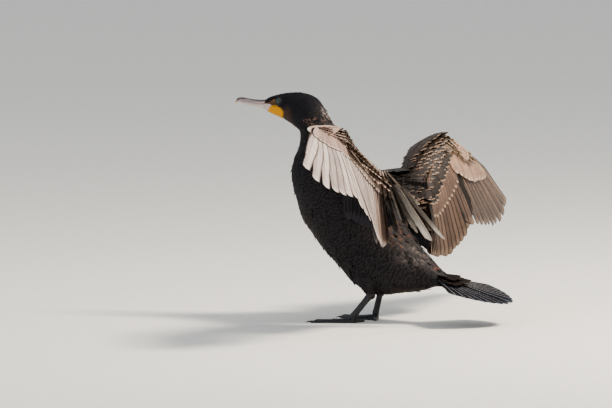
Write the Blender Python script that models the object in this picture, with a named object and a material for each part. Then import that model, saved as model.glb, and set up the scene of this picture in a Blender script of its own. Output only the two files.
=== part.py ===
"""Great cormorant at life size, standing with both wings half open to dry.

The bird faces -X, its left side is -Y and it stands on the floor at Z = 0.
Sizes are real ones for the species, in metres. Body outlines are lists of
stations, each a back point, a front point and a width.
"""

import math
import random

import bmesh
import bpy
from mathutils import Matrix, Vector

MM = 0.001
GAP = 0.3 * MM
HALF_GAP = GAP / 2
WELD = 0.0002 * MM
BLOCK = 700 * MM
AROUND = 24

# Stations of the trunk: back (x, z), front (x, z), width, all in millimetres.
HEAD_STATIONS = [
    ((-192, 385.5), (-193, 368.5), 15),
    ((-181, 391), (-182, 362), 24),
    ((-164, 396), (-164, 355), 31),
    ((-147, 399), (-153, 350), 35),
    ((-128, 400), (-144, 345), 38),
    ((-109, 397), (-138, 341), 41),
    ((-94, 389), (-132, 337), 44),
]
NECK_STATIONS = [
    ((-94, 389), (-132, 337), 44),
    ((-82, 375), (-127, 332), 47),
    ((-74, 361), (-125, 325), 50),
    ((-66, 349), (-125, 316), 55),
    ((-54, 337), (-127, 304), 66),
]
TORSO_STATIONS = [
    ((-54, 337), (-127, 304), 66),
    ((-39, 322), (-133, 287), 90),
    ((-22, 304), (-138, 266), 112),
    ((-4, 284), (-137, 243), 128),
    ((14, 262), (-130, 215), 138),
    ((29, 238), (-119, 182), 143),
    ((44, 213), (-102, 156), 144),
    ((59, 189), (-79, 127), 140),
    ((76, 165), (-50, 96), 132),
    ((95, 141), (-18, 65), 120),
    ((117, 119), (22, 49), 100),
    ((134, 102), (67, 51), 74),
]
TAIL_BASE_STATIONS = [
    ((134, 102), (67, 51), 74),
    ((147, 91), (101, 56), 52),
    ((160, 82), (126, 63), 34),
    ((172, 75), (150, 65), 22),
]

# Bill stations: top (x, z), bottom (x, z), half width.
UPPER_BILL_STATIONS = [
    ((-192.6, 385.2), (-192.6, 377.7), 7.0),
    ((-203, 384.8), (-203, 378.0), 5.9),
    ((-214, 385.3), (-214, 378.7), 5.0),
    ((-226, 386.7), (-226, 379.8), 4.3),
    ((-236, 388.0), (-236.5, 380.6), 3.9),
    ((-243.5, 387.0), (-240.9, 380.7), 3.5),
    ((-248.3, 382.6), (-243.6, 379.8), 2.6),
    ((-249.6, 377.6), (-246.4, 377.4), 1.5),
    ((-248.6, 374.9), (-247.4, 375.2), 0.6),
]
LOWER_BILL_STATIONS = [
    ((-193.6, 377.3), (-193.6, 368.9), 6.8),
    ((-203, 377.6), (-203, 371.0), 5.6),
    ((-214, 378.3), (-214, 372.7), 4.7),
    ((-226, 379.4), (-226, 374.6), 4.0),
    ((-235, 380.1), (-235, 376.3), 3.2),
    ((-239.2, 380.0), (-239.0, 377.8), 1.8),
]

# The bare throat skin is the front of the head below the line of the mouth.
MOUTH_LINE_Z = 377.5
THROAT_BACK = [(-164, 377.5), (-156, 367), (-160, 340)]
EYE_PLACE = (-163, 10.3, 384.7)
EYE_RADIUS = 5.2 * MM
LID_RADIUS = 4.6 * MM
LID_THICKNESS = 1.0 * MM
NOSTRIL_GROOVE = ((-228, 382.6), (-197, 381.6))

# Wing joints of each side: shoulder, elbow, wrist and end of the hand.
WING_BONES = {
    "left": [(-62, -50, 272), (72, -90, 266), (44, -235, 349), (38, -346, 365)],
    "right": [(-58, 48, 258), (75, 90, 240), (44, 235, 308), (64, 345, 262)],
}
# Where the skin in front of the elbow ends, as shares of shoulder, wrist, elbow.
FRONT_SKIN_SHARES = (0.30, 0.28, 0.42)
# How far the forearm's front edge arches forward between elbow and wrist.
FRONT_ARCH = {"left": 2 * MM, "right": 13 * MM}
# Directions of the rearmost tertial, the inner and the outer secondary.
FEATHER_DIRECTIONS = {
    "left": [(0.68, 0.14, -0.72), (0.12, -0.05, -0.99), (0.42, -0.10, -0.90)],
    "right": [(0.20, 0.00, -0.98), (0.06, 0.00, -1.00), (0.39, 0.07, -0.92)],
}
# Directions of the primaries at even steps from the first to the last.
HAND_DIRECTIONS = {
    "left": [(0.44, -0.15, -0.88), (0.53, -0.65, -0.55), (0.44, -0.79, -0.43), (0.30, -0.93, -0.22)],
    "right": [(0.39, 0.12, -0.91), (0.24, 0.51, -0.83), (0.08, 0.75, -0.66), (0.00, 0.87, -0.49)],
}
ARM_THICKNESS = [26 * MM, 15 * MM, 13 * MM, 10 * MM]
ARM_REAR = [20 * MM, 15 * MM, 11 * MM, 5 * MM]
PRIMARY_LENGTHS = [162, 166, 170, 176, 184, 194, 206, 218, 222, 212]
SECONDARY_LENGTHS = {"left": [136, 146, 154, 158], "right": [142, 168, 172, 162]}
SECONDARY_WIDTHS = {"left": (24, 25), "right": (28, 28)}
HUMERAL_LENGTHS = {"left": [84, 92], "right": [112, 118]}
TERTIAL_LENGTHS = {"left": [152, 160, 146], "right": [112, 130, 142]}
# Where the upper arm's node meets the forearm's, from shoulder 0 to elbow 1.
UPPER_ARM_END = 0.78

# Vane outlines: shares of the length with the share of the full width there.
FLIGHT_OUTLINE = [(0.0, 0.16), (0.3, 0.92), (0.9, 0.9), (1.0, 0.45)]
FINGER_OUTLINE = [(0.0, 0.14), (0.35, 0.95), (0.62, 0.85), (0.94, 0.62), (1.0, 0.38)]
TAIL_OUTLINE = [(0.0, 0.12), (0.32, 0.4), (0.9, 0.95), (1.0, 0.5)]
COVERT_OUTLINE = [(0.0, 0.3), (0.4, 0.9), (0.85, 0.86), (1.0, 0.38)]
VANE_THICKNESS = 0.55 * MM
SHAFT_HEIGHT = 0.25 * MM
# Each vane turns about its shaft to lie over its neighbour, on the left wing
# with its inner edge and on the right wing with its outer edge.
LAY = {"left": -1, "right": 1}
VANE_TURN = math.radians(6)
COVERT_TURN = math.radians(3.5)
# Vanes curve down towards the tip by this much, per metre squared of length.
VANE_SAG = 0.12

# Tail feathers spread as a fan about the tail's own axis.
TAIL_ROOT = (126, 0, 84)
TAIL_SLOPE = math.radians(16)
TAIL_HALF_FAN = math.radians(47)
TAIL_FEATHERS = 14
TAIL_LENGTHS = (122, 152)
TAIL_WIDTH = 25 * MM

# Leg joints of each side: top inside the body, ankle, toe joint.
LEG_JOINTS = {
    "left": [(14, -37, 95), (22, -38, 50), (-10, -40, 11)],
    "right": [(12, 39, 100), (14, 36, 58), (2, 38, 11)],
}
# Toes of each foot: turn from straight ahead, outwards positive, and length.
TOES = [(20, 84), (-4, 75), (-30, 57), (-112, 34)]
# Toe sections: share of the length, half width, height and height off the floor.
TOE_SECTIONS = [
    (-0.04, 5.5, 9.0, 0), (0.15, 4.6, 8.0, 0), (0.4, 3.4, 5.6, 0), (0.65, 3.0, 4.8, 0),
    (0.84, 2.4, 4.2, 0), (0.86, 1.6, 3.4, 0.4), (0.93, 1.2, 2.6, 0.6), (1.0, 0.4, 0.8, 0.2),
]
FOOT_TURN = {"left": math.radians(4), "right": math.radians(2)}

COLOURS = {
    "plumage": ((0.012, 0.010, 0.010), 0.55),
    "wing_plumage": ((0.110, 0.080, 0.065), 0.5),
    "tail_plumage": ((0.030, 0.033, 0.045), 0.5),
    "bill_horn": ((0.200, 0.160, 0.160), 0.4),
    "throat_skin": ((0.560, 0.270, 0.020), 0.55),
    "eye": ((0.015, 0.070, 0.075), 0.1),
    "leg_skin": ((0.010, 0.010, 0.012), 0.45),
}


def clear_scene():
    """Remove everything the scene starts with."""
    for thing in list(bpy.data.objects):
        bpy.data.objects.remove(thing, do_unlink=True)


def finish_material(name):
    """Principled material with the part's own colour and roughness."""
    colour, roughness = COLOURS[name]
    made = bpy.data.materials.new(name)
    made.use_nodes = True
    shader = made.node_tree.nodes["Principled BSDF"]
    shader.inputs["Base Color"].default_value = (*colour, 1.0)
    shader.inputs["Roughness"].default_value = roughness
    shader.inputs["Metallic"].default_value = 0.0
    return made


def point(xyz):
    """A place given in millimetres as a vector in metres."""
    return Vector(xyz) * MM


def side_place(xyz):
    """A place in the bird's middle plane from (x, z) in millimetres."""
    return Vector((xyz[0], 0.0, xyz[1])) * MM


def new_object(name, shape):
    """Link a finished bmesh to the scene as an object."""
    mesh = bpy.data.meshes.new(name)
    bmesh.ops.recalc_face_normals(shape, faces=shape.faces)
    shape.to_mesh(mesh)
    shape.free()
    made = bpy.data.objects.new(name, mesh)
    bpy.context.scene.collection.objects.link(made)
    return made


def loft(rings):
    """Closed solid through rings of equal point count, with flat ends."""
    shape = bmesh.new()
    loops = []
    for ring in rings:
        verts = [shape.verts.new(place) for place in ring]
        loops.append(verts)
    count = len(rings[0])
    for near, far in zip(loops, loops[1:]):
        for i in range(count):
            j = (i + 1) % count
            shape.faces.new((near[i], near[j], far[j], far[i]))
    shape.faces.new(reversed(loops[0]))
    shape.faces.new(loops[-1])
    return shape


def oval_ring(top, bottom, half_width, around=AROUND):
    """Ellipse whose height runs from bottom to top and width along Y."""
    centre = (top + bottom) / 2
    rise = (top - bottom) / 2
    ring = []
    for i in range(around):
        turn = 2 * math.pi * i / around
        ring.append(centre + rise * math.cos(turn) + Vector((0, half_width * math.sin(turn), 0)))
    return ring


def arch_ring(top, bottom, half_width, around=12):
    """Arched outline with a flat side at the bottom, for half a bill."""
    rise = top - bottom
    ring = []
    for i in range(around + 1):
        turn = math.pi * (i / around - 0.5)
        ring.append(bottom + rise * math.cos(turn) ** 0.8 + Vector((0, half_width * math.sin(turn), 0)))
    return ring


def between(a, b, c, d, share):
    """Smooth curve value between b and c, led by a and d."""
    return 0.5 * (
        2 * b
        + (c - a) * share
        + (2 * a - 5 * b + 4 * c - d) * share ** 2
        + (3 * b - a - 3 * c + d) * share ** 3
    )


def smooth_stations(stations, steps=2):
    """Add stations between the given ones along a smooth curve."""
    values = [(side_place(back), side_place(front), width * MM) for back, front, width in stations]
    padded = [values[0]] + values + [values[-1]]
    made = []
    for k in range(1, len(values)):
        for step in range(steps):
            share = step / steps
            made.append(tuple(
                between(padded[k - 1][i], padded[k][i], padded[k + 1][i], padded[k + 2][i], share)
                for i in range(3)
            ))
    made.append(values[-1])
    return made


def trunk_rings(stations, grow=0.0, trim_start=0.0, trim_end=0.0):
    """Rings of a trunk piece, grown outwards and trimmed along the spine."""
    sections = smooth_stations(stations)
    rings = []
    for back, front, width in sections:
        out = (back - front).normalized() * grow
        rings.append(oval_ring(back + out, front - out, width / 2 + grow))
    first = spine_step(sections[0], sections[1]) * trim_start
    last = spine_step(sections[-1], sections[-2]) * trim_end
    rings[0] = [place + first for place in rings[0]]
    rings[-1] = [place + last for place in rings[-1]]
    return rings


def spine_step(here, there):
    """Unit step from one section's centre towards another's."""
    return ((there[0] + there[1]) - (here[0] + here[1])).normalized()


def evaluate(thing):
    """Mesh of an object with its modifiers worked out."""
    bpy.context.view_layer.update()
    evaluated = thing.evaluated_get(bpy.context.evaluated_depsgraph_get())
    return bpy.data.meshes.new_from_object(evaluated)


def tidy_mesh(mesh):
    """Weld what coincides, split into triangles and say if it is a sound solid."""
    shape = bmesh.new()
    shape.from_mesh(mesh)
    bmesh.ops.remove_doubles(shape, verts=shape.verts, dist=WELD)
    bmesh.ops.dissolve_degenerate(shape, edges=shape.edges, dist=WELD)
    bmesh.ops.triangulate(shape, faces=shape.faces)
    sound = len(shape.faces) > 8 and all(len(edge.link_faces) == 2 for edge in shape.edges)
    shape.to_mesh(mesh)
    shape.free()
    return sound


def combine(target, operation, settings):
    """Boolean step, by EXACT and only where that fails by MANIFOLD."""
    tidy_mesh(target.data)
    for solver in ("EXACT", "MANIFOLD"):
        step = target.modifiers.new("combine", "BOOLEAN")
        step.operation = operation
        step.solver = solver
        for key, value in settings.items():
            setattr(step, key, value)
        made = evaluate(target)
        target.modifiers.clear()
        if tidy_mesh(made):
            target.data = made
            return


def cut(target, cutter, operation="DIFFERENCE"):
    """Boolean with one cutter, which is then removed."""
    tidy_mesh(cutter.data)
    combine(target, operation, {"object": cutter})
    bpy.data.objects.remove(cutter, do_unlink=True)


def join(base, pieces):
    """One union of a base with a collection of closed pieces."""
    group = bpy.data.collections.new("pieces")
    bpy.context.scene.collection.children.link(group)
    for piece in pieces:
        tidy_mesh(piece.data)
        bpy.context.scene.collection.objects.unlink(piece)
        group.objects.link(piece)
    combine(base, "UNION", {"operand_type": "COLLECTION", "collection": group})
    for piece in list(group.objects):
        bpy.data.objects.remove(piece, do_unlink=True)
    bpy.data.collections.remove(group)


def keep_largest(thing):
    """Drop every closed surface of a node but the largest."""
    shape = bmesh.new()
    shape.from_mesh(thing.data)
    unseen = set(shape.verts)
    groups = []
    while unseen:
        front = [unseen.pop()]
        group = []
        while front:
            vert = front.pop()
            group.append(vert)
            for edge in vert.link_edges:
                other = edge.other_vert(vert)
                if other in unseen:
                    unseen.remove(other)
                    front.append(other)
        groups.append(group)
    groups.sort(key=reach, reverse=True)
    spare = [vert for group in groups[1:] for vert in group]
    bmesh.ops.delete(shape, geom=spare, context="VERTS")
    shape.to_mesh(thing.data)
    shape.free()


def reach(group):
    """Size of the box round a group of points."""
    sizes = []
    for axis in range(3):
        values = [vert.co[axis] for vert in group]
        sizes.append(max(values) - min(values))
    return sum(sizes)


def prism(outline, half_depth):
    """Block with an outline in the middle plane, reaching both ways along Y."""
    near = [side_place(place) + Vector((0, -half_depth, 0)) for place in outline]
    far = [side_place(place) + Vector((0, half_depth, 0)) for place in outline]
    return new_object("prism", loft([near, far]))


def throat_outline(shift):
    """Outline of the bare throat, moved back by a shift in millimetres."""
    front = [(-215, MOUTH_LINE_Z + shift)]
    back = [(x + shift, z + shift * 0.9) for x, z in THROAT_BACK]
    return front + back + [(-215, 340)]


def make_eye(side):
    """Eyeball set in the side of the head."""
    sign = side_sign(side)
    shape = bmesh.new()
    centre = point((EYE_PLACE[0], sign * EYE_PLACE[1], EYE_PLACE[2]))
    bmesh.ops.create_uvsphere(
        shape, u_segments=16, v_segments=10, radius=EYE_RADIUS,
        matrix=Matrix.Translation(centre) @ Matrix.Rotation(math.pi / 2, 4, "X"),
    )
    return new_object(side + "_eye", shape)


def side_sign(side):
    """Left lies towards -Y and right towards +Y."""
    return -1 if side == "left" else 1


def make_lid(side):
    """Ring of lid skin round one eye."""
    sign = side_sign(side)
    centre = point((EYE_PLACE[0], sign * (EYE_PLACE[1] + 2.6), EYE_PLACE[2] + 0.4))
    rings = []
    turns = 14
    sides = 5
    for i in range(turns):
        turn = 2 * math.pi * i / turns
        out = Vector((math.cos(turn), 0, math.sin(turn)))
        rings.append([
            centre
            + out * (LID_RADIUS + LID_THICKNESS * math.cos(2 * math.pi * k / sides))
            + Vector((0, LID_THICKNESS * 1.3 * math.sin(2 * math.pi * k / sides), 0))
            for k in range(sides)
        ])
    shape = bmesh.new()
    loops = [[shape.verts.new(place) for place in ring] for ring in rings]
    for i in range(turns):
        near, far = loops[i], loops[(i + 1) % turns]
        for k in range(sides):
            m = (k + 1) % sides
            shape.faces.new((near[k], near[m], far[m], far[k]))
    return new_object("lid", shape)


def make_socket(side):
    """Round cutter a little larger than the eye."""
    sign = side_sign(side)
    centre = point((EYE_PLACE[0], sign * EYE_PLACE[1], EYE_PLACE[2]))
    shape = bmesh.new()
    bmesh.ops.create_uvsphere(
        shape, u_segments=16, v_segments=10, radius=EYE_RADIUS + GAP * 1.5,
        matrix=Matrix.Translation(centre) @ Matrix.Rotation(math.pi / 2, 4, "X"),
    )
    return new_object("socket", shape)


def make_head():
    """Head with lids and sockets, and the bare throat cut from its front."""
    head = new_object("head", loft(trunk_rings(HEAD_STATIONS, 0, 0, HALF_GAP)))
    throat = new_object("gular_pouch", loft(trunk_rings(HEAD_STATIONS, 0, 0, HALF_GAP)))
    cut(throat, prism(throat_outline(-0.15), 40 * MM), "INTERSECT")
    cut(head, prism(throat_outline(0.15), 40 * MM))
    join(head, [make_lid("left"), make_lid("right")])
    cut(head, make_socket("left"))
    cut(head, make_socket("right"))
    return [head, throat, make_eye("left"), make_eye("right")]


def make_bill():
    """Hooked upper bill and straight lower bill."""
    made = []
    for name, stations, over in (
        ("upper_bill", UPPER_BILL_STATIONS, True),
        ("lower_bill", LOWER_BILL_STATIONS, False),
    ):
        rings = []
        for top, bottom, half_width in stations:
            crest, base = (top, bottom) if over else (bottom, top)
            rings.append(arch_ring(side_place(crest), side_place(base), half_width * MM))
        made.append(new_object(name, loft(rings)))
    for sign in (-1, 1):
        start, end = NOSTRIL_GROOVE
        rings = []
        for place in (start, end):
            centre = side_place(place) + Vector((0, sign * 5.9 * MM, 0))
            rings.append([
                centre + Vector((0, 1.4 * MM * y, 0.35 * MM * z))
                for y, z in ((-1, -1), (1, -1), (1, 1), (-1, 1))
            ])
        cut(made[0], new_object("groove", loft(rings)))
    return made


def mix(a, b, share):
    """Straight mix of two vectors."""
    return a * (1 - share) + b * share


def along(values, place):
    """Value at a place along a list, where 0 is the first entry."""
    place = min(max(place, 0.0), len(values) - 1)
    k = min(int(place), len(values) - 2)
    return mix(values[k], values[k + 1], place - k)


class Wing:
    """Frame of one wing: where feathers root and how they point."""

    def __init__(self, side):
        self.side = side
        self.sign = side_sign(side)
        self.lay = LAY[side]
        self.bones = [point(place) for place in WING_BONES[side]]
        self.directions = [Vector(way).normalized() for way in FEATHER_DIRECTIONS[side]]
        self.hand_ways = [Vector(way).normalized() for way in HAND_DIRECTIONS[side]]
        last = self.hand_ways[-1]
        shoulder, elbow, wrist, tip = self.bones
        turn = elbow + (elbow - shoulder).normalized() + (wrist - elbow).normalized()
        self.normals = [
            self.square(shoulder, elbow, self.directions[0]),
            self.square(elbow, turn, self.directions[1]),
            self.square(elbow, tip, self.directions[2]),
            self.square(wrist, tip, last),
        ]
        shares = FRONT_SKIN_SHARES
        self.front = [
            shoulder + Vector((-20 * MM, 0, 4 * MM)),
            shoulder * shares[0] + wrist * shares[1] + elbow * shares[2],
            wrist - self.directions[2] * 9 * MM,
            tip - last * 2 * MM - self.directions[2] * 4 * MM,
        ]
        ways = self.directions + [last]
        self.rear = [bone + way * depth for bone, way, depth in zip(self.bones, ways, ARM_REAR)]

    def square(self, start, end, way):
        """Unit vector off the upper side, from a stretch of bone and a feather."""
        return ((end - start).cross(way) * -self.sign).normalized()

    def root(self, place):
        """Point on the bones, 0 at the shoulder and 3 at the hand's end."""
        return along(self.bones, place)

    def lead(self, place):
        """Point on the front edge of the arm."""
        arch = FRONT_ARCH[self.side] * math.sin(math.pi * min(max(place - 1, 0), 1))
        return along(self.front, place) - self.way(2) * arch

    def way(self, place):
        """Direction in which feathers point there."""
        if place > 2:
            return along(self.hand_ways, (place - 2) * 3).normalized()
        return along(self.directions, place).normalized()

    def up(self, place, way):
        """Upper side of the wing there, square to a feather's direction."""
        return square_to(along(self.normals, place), way)

    def section(self, place):
        """Centre, half chord and half thickness of the arm's oval section."""
        lead = self.lead(place)
        trail = along(self.rear, place)
        chord = (lead - trail) / 2
        up = self.up(place, self.way(place))
        return (lead + trail) / 2, chord, up * along(ARM_THICKNESS, place) / 2

    def arm_rings(self, start, end, steps):
        """Flat oval sections of the arm between two places."""
        rings = []
        for k in range(steps + 1):
            centre, chord, thick = self.section(start + (end - start) * k / steps)
            rings.append([
                centre + chord * math.cos(turn) + thick * math.sin(turn)
                for turn in (2 * math.pi * i / 8 for i in range(8))
            ])
        return rings

    def block(self, place, outer):
        """Large block that covers the wing beyond or before a place."""
        centre = self.root(place)
        way = self.way(place)
        up = self.up(place, way)
        across = up.cross(way).normalized()
        if (self.root(place + 0.2) - self.root(place - 0.2)).dot(across) < 0:
            across = -across
        if not outer:
            across = -across
        rings = []
        for depth in (-HALF_GAP, BLOCK):
            middle = centre + across * depth
            rings.append([
                middle + way * BLOCK * a + up * BLOCK * b
                for a, b in ((-1, -1), (1, -1), (1, 1), (-1, 1))
            ])
        return new_object("block", loft(rings))


class VaneRow:
    """One row of like vanes rooted along the bones of a wing at a height."""

    def __init__(self, roots, ways, count, lengths, widths, outline, lift=0.0, stack=0.0):
        self.roots = roots
        self.ways = ways
        self.count = count
        self.lengths = [size * MM for size in lengths]
        self.widths = [size * MM for size in widths]
        self.outline = outline
        self.lift = lift * MM
        self.stack = stack * MM

    def shaft(self, wing, share):
        """Root, direction and length of the vane at a share of the row."""
        place = mix(*self.roots, share)
        way = wing.way(mix(*self.ways, share))
        length = along(self.lengths, share * (len(self.lengths) - 1))
        return wing.root(place), way, length

    def build(self, wing, rng):
        """Vanes of the row on a wing, each a closed solid."""
        made = []
        step = 0.5 / (self.count - 1)
        for k in range(self.count):
            share = k / (self.count - 1)
            base, way, length = self.shaft(wing, share)
            inner, inner_way, inner_length = self.shaft(wing, share - step)
            outer, outer_way, outer_length = self.shaft(wing, share + step)
            near = outer - inner
            far = near + outer_way * outer_length - inner_way * inner_length
            up = square_to(way.cross(near) * wing.sign, way)
            height = self.lift + self.stack * (self.count / 2 - k) * wing.lay
            turn = COVERT_TURN if self.outline is COVERT_OUTLINE else VANE_TURN
            rings = vane_rings(
                base + up * height, way, (near, far), wing.sign,
                length * (1 + rng.uniform(-0.012, 0.012)),
                mix(*self.widths, share), self.outline, turn * wing.lay,
            )
            made.append(new_object("vane", vane_solid(rings)))
        return made


def square_to(rough, way):
    """Unit vector nearest to a rough one at right angles to a direction."""
    return (rough - way * rough.dot(way)).normalized()


def vane_rings(root, way, outs, hand, length, width, outline, turn, rise=0.0, outer=0.38):
    """Sections of a flat feather, narrow at its root and curving down.

    The vane follows the surface of its row, whose outward direction turns
    from the first to the second of outs along the shaft. Each ring runs over
    the upper face from the outer edge and back below. Flight feathers have a
    raised shaft.
    """
    top = square_to(way.cross(outs[0]) * hand, way)
    rings = []
    for share, wide in outline:
        out = square_to(mix(outs[0], outs[1], share), way)
        up = way.cross(out) * hand
        across = out * math.cos(turn) + up * math.sin(turn)
        above = up * math.cos(turn) - out * math.sin(turn)
        reach_out = length * share
        centre = root + way * reach_out + top * (rise * share - VANE_SAG * reach_out ** 2)
        half = above * VANE_THICKNESS / 2
        lead = centre + across * width * wide * outer
        trail = centre - across * width * wide * (1 - outer)
        if outline is COVERT_OUTLINE:
            rings.append([lead + half, trail + half, trail - half, lead - half])
        else:
            crest = above * SHAFT_HEIGHT
            rings.append([lead + half, centre + half + crest, trail + half,
                          trail - half, centre - half, lead - half])
    return rings


def vane_solid(rings):
    """Vane split into triangles alike on its upper and lower face."""
    shape = bmesh.new()
    loops = [[shape.verts.new(place) for place in ring] for ring in rings]
    count = len(rings[0])
    half = count // 2
    for near, far in zip(loops, loops[1:]):
        for i in range(count):
            j = (i + 1) % count
            if i < half:
                shape.faces.new((near[i], near[j], far[j]))
                shape.faces.new((near[i], far[j], far[i]))
            else:
                shape.faces.new((near[i], near[j], far[i]))
                shape.faces.new((near[j], far[j], far[i]))
    shape.faces.new(reversed(loops[0]))
    shape.faces.new(loops[-1])
    return shape


def forearm_rows(side):
    """Humerals, tertials, secondaries and their greater coverts."""
    return [
        VaneRow((0.82, 0.97), (0.95, 0.98), 3, HUMERAL_LENGTHS[side], (22, 22), COVERT_OUTLINE),
        VaneRow((1.02, 1.14), (0.0, 0.8), 5, TERTIAL_LENGTHS[side], (22, 22), FLIGHT_OUTLINE,
                lift=0.5, stack=0.7),
        VaneRow((1.17, 1.96), (1.0, 2.0), 11, SECONDARY_LENGTHS[side], SECONDARY_WIDTHS[side],
                FLIGHT_OUTLINE, lift=-1.2),
        VaneRow((1.04, 1.97), (0.8, 2.0), 9, (58, 72, 66), (24, 26), COVERT_OUTLINE, lift=2.6),
    ]


def upper_arm_rows():
    """Coverts of the upper arm, which hang beside the back."""
    return [
        VaneRow((0.42, 0.72), (1.0, 1.0), 4, (84, 96), (20, 20), COVERT_OUTLINE, lift=-2.0),
        VaneRow((0.42, 0.72), (1.0, 1.0), 4, (52, 56), (20, 20), COVERT_OUTLINE, lift=2.2),
    ]


def hand_rows():
    """Primaries and their coverts."""
    return [
        VaneRow((2.03, 2.97), (2.0, 3.0), 10, PRIMARY_LENGTHS, (30, 27), FINGER_OUTLINE, stack=0.7),
        VaneRow((2.03, 2.95), (2.0, 3.0), 8, (72, 84, 84), (20, 17), COVERT_OUTLINE, lift=3.0, stack=0.9),
    ]


def make_alula(wing):
    """Three short stiff feathers along the front of the hand."""
    made = []
    hand = (wing.root(3) - wing.root(2)).normalized()
    for k in range(3):
        place = 2.16 + 0.07 * k
        up = square_to(along(wing.normals, place), hand)
        out = square_to(-wing.way(2), hand)
        flip = 1 if hand.cross(out).dot(up) > 0 else -1
        root = wing.root(place) + up * (2.0 + 1.2 * k) * MM + out * 4 * MM
        rings = vane_rings(root, hand, (out, out), flip, (62 - 9 * k) * MM, 13 * MM,
                           COVERT_OUTLINE, COVERT_TURN, 2.6 * MM)
        made.append(new_object("vane", vane_solid(rings)))
    return made


def make_wing(side, rng):
    """Upper arm, forearm and hand of one wing as three nodes."""
    wing = Wing(side)
    upper = new_object(side + "_wing_upper_arm", loft(wing.arm_rings(0, 0.95, 3)))
    fore = new_object(side + "_wing_forearm", loft(wing.arm_rings(0.55, 2.15, 6)))
    hand = new_object(side + "_wing_hand", loft(wing.arm_rings(1.88, 3, 3)))
    join(upper, [vane for row in upper_arm_rows() for vane in row.build(wing, rng)])
    join(fore, [vane for row in forearm_rows(side) for vane in row.build(wing, rng)])
    join(hand, [vane for row in hand_rows() for vane in row.build(wing, rng)] + make_alula(wing))
    cut(upper, wing.block(UPPER_ARM_END, True))
    cut(fore, wing.block(UPPER_ARM_END, False))
    cut(fore, wing.block(2, True))
    cut(hand, wing.block(2, False))
    for thing in (upper, fore):
        cut(thing, new_object("torso_cut", loft(trunk_rings(TORSO_STATIONS, GAP))))
    for thing in (upper, fore, hand):
        keep_largest(thing)
    return [upper, fore, hand]


def tail_vane(turn, lift, length, width, outline, rise):
    """One feather of the tail's fan, turned to a side of the middle."""
    back = Vector((math.cos(TAIL_SLOPE), 0, -math.sin(TAIL_SLOPE)))
    up = Vector((math.sin(TAIL_SLOPE), 0, math.cos(TAIL_SLOPE)))
    side = Vector((0, 1 if turn > 0 else -1, 0))
    way = back * math.cos(turn) + side * math.sin(abs(turn))
    out = side * math.cos(turn) - back * math.sin(abs(turn))
    root = point(TAIL_ROOT) + up * lift + way * 8 * MM
    rings = vane_rings(root, way, (out, out), side.y, length - 8 * MM, width, outline,
                       VANE_TURN, rise, 0.45)
    return new_object("vane", vane_solid(rings))


def make_tail():
    """Tail base with its fan of stiff feathers and their coverts."""
    tail = new_object("tail", loft(trunk_rings(TAIL_BASE_STATIONS, 0, HALF_GAP, 0)))
    vanes = []
    for k in range(TAIL_FEATHERS):
        share = k / (TAIL_FEATHERS - 1) * 2 - 1
        length = mix(TAIL_LENGTHS[1], TAIL_LENGTHS[0], abs(share) ** 1.5) * MM
        lift = 1.6 * MM if k == TAIL_FEATHERS // 2 else 0.0
        vanes.append(tail_vane(share * TAIL_HALF_FAN, lift, length, TAIL_WIDTH, TAIL_OUTLINE, 0))
    for count, lift, length, rise, spread in (
        (7, 5 * MM, 78 * MM, 1.5 * MM, 0.8), (6, -5 * MM, 76 * MM, -1.5 * MM, 0.75),
    ):
        for k in range(count):
            share = k / (count - 1) * 2 - 1 + 0.02
            extra = 2.2 * MM if k == count // 2 else 0.0
            vanes.append(tail_vane(share * TAIL_HALF_FAN * spread, lift + extra, length,
                                   21 * MM, COVERT_OUTLINE, rise))
    join(tail, vanes)
    keep_largest(tail)
    return tail


def round_ring(centre, axis, wide, deep, around=12):
    """Oval ring across an axis, wide along Y and deep the other way."""
    axis = axis.normalized()
    side = Vector((0, 1, 0))
    side = (side - axis * side.dot(axis)).normalized()
    other = axis.cross(side)
    return [
        centre + side * wide * math.cos(turn) + other * deep * math.sin(turn)
        for turn in (2 * math.pi * i / around for i in range(around))
    ]


def make_leg(side):
    """Feathered shank and bare tarsus, down to the toe joint."""
    top, ankle, joint = [point(place) for place in LEG_JOINTS[side]]
    shank = ankle - top
    tarsus = joint - ankle
    end = joint - tarsus.normalized() * (7 * MM + HALF_GAP)
    sections = [
        (top, shank, 21, 23),
        (mix(top, ankle, 0.4), shank, 18, 20),
        (mix(top, ankle, 0.75), shank, 11, 13),
        (ankle, shank + tarsus, 5.5, 8.5),
        (mix(ankle, joint, 0.2), tarsus, 4, 6),
        (mix(ankle, joint, 0.6), tarsus, 3.6, 5.6),
        (end, tarsus, 4.4, 6),
    ]
    rings = [round_ring(c, axis, w * MM, d * MM) for c, axis, w, d in sections]
    leg = new_object(side + "_leg", loft(rings))
    cut(leg, new_object("torso_cut", loft(trunk_rings(TORSO_STATIONS, GAP))))
    keep_largest(leg)
    return leg


def toe_ring(centre, way, half_width, height):
    """Toe section with a flat sole on the floor."""
    side = Vector((-way.y, way.x, 0)).normalized()
    ring = []
    for i in range(6):
        turn = math.pi * i / 5
        ring.append(centre + side * half_width * math.cos(turn) + Vector((0, 0, height * math.sin(turn) ** 0.7)))
    return ring


def toe_way(side, turn_degrees):
    """Flat direction of a toe turned outwards from straight ahead."""
    turn = FOOT_TURN[side] + math.radians(turn_degrees)
    return Vector((-math.cos(turn), side_sign(side) * math.sin(turn), 0))


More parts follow.
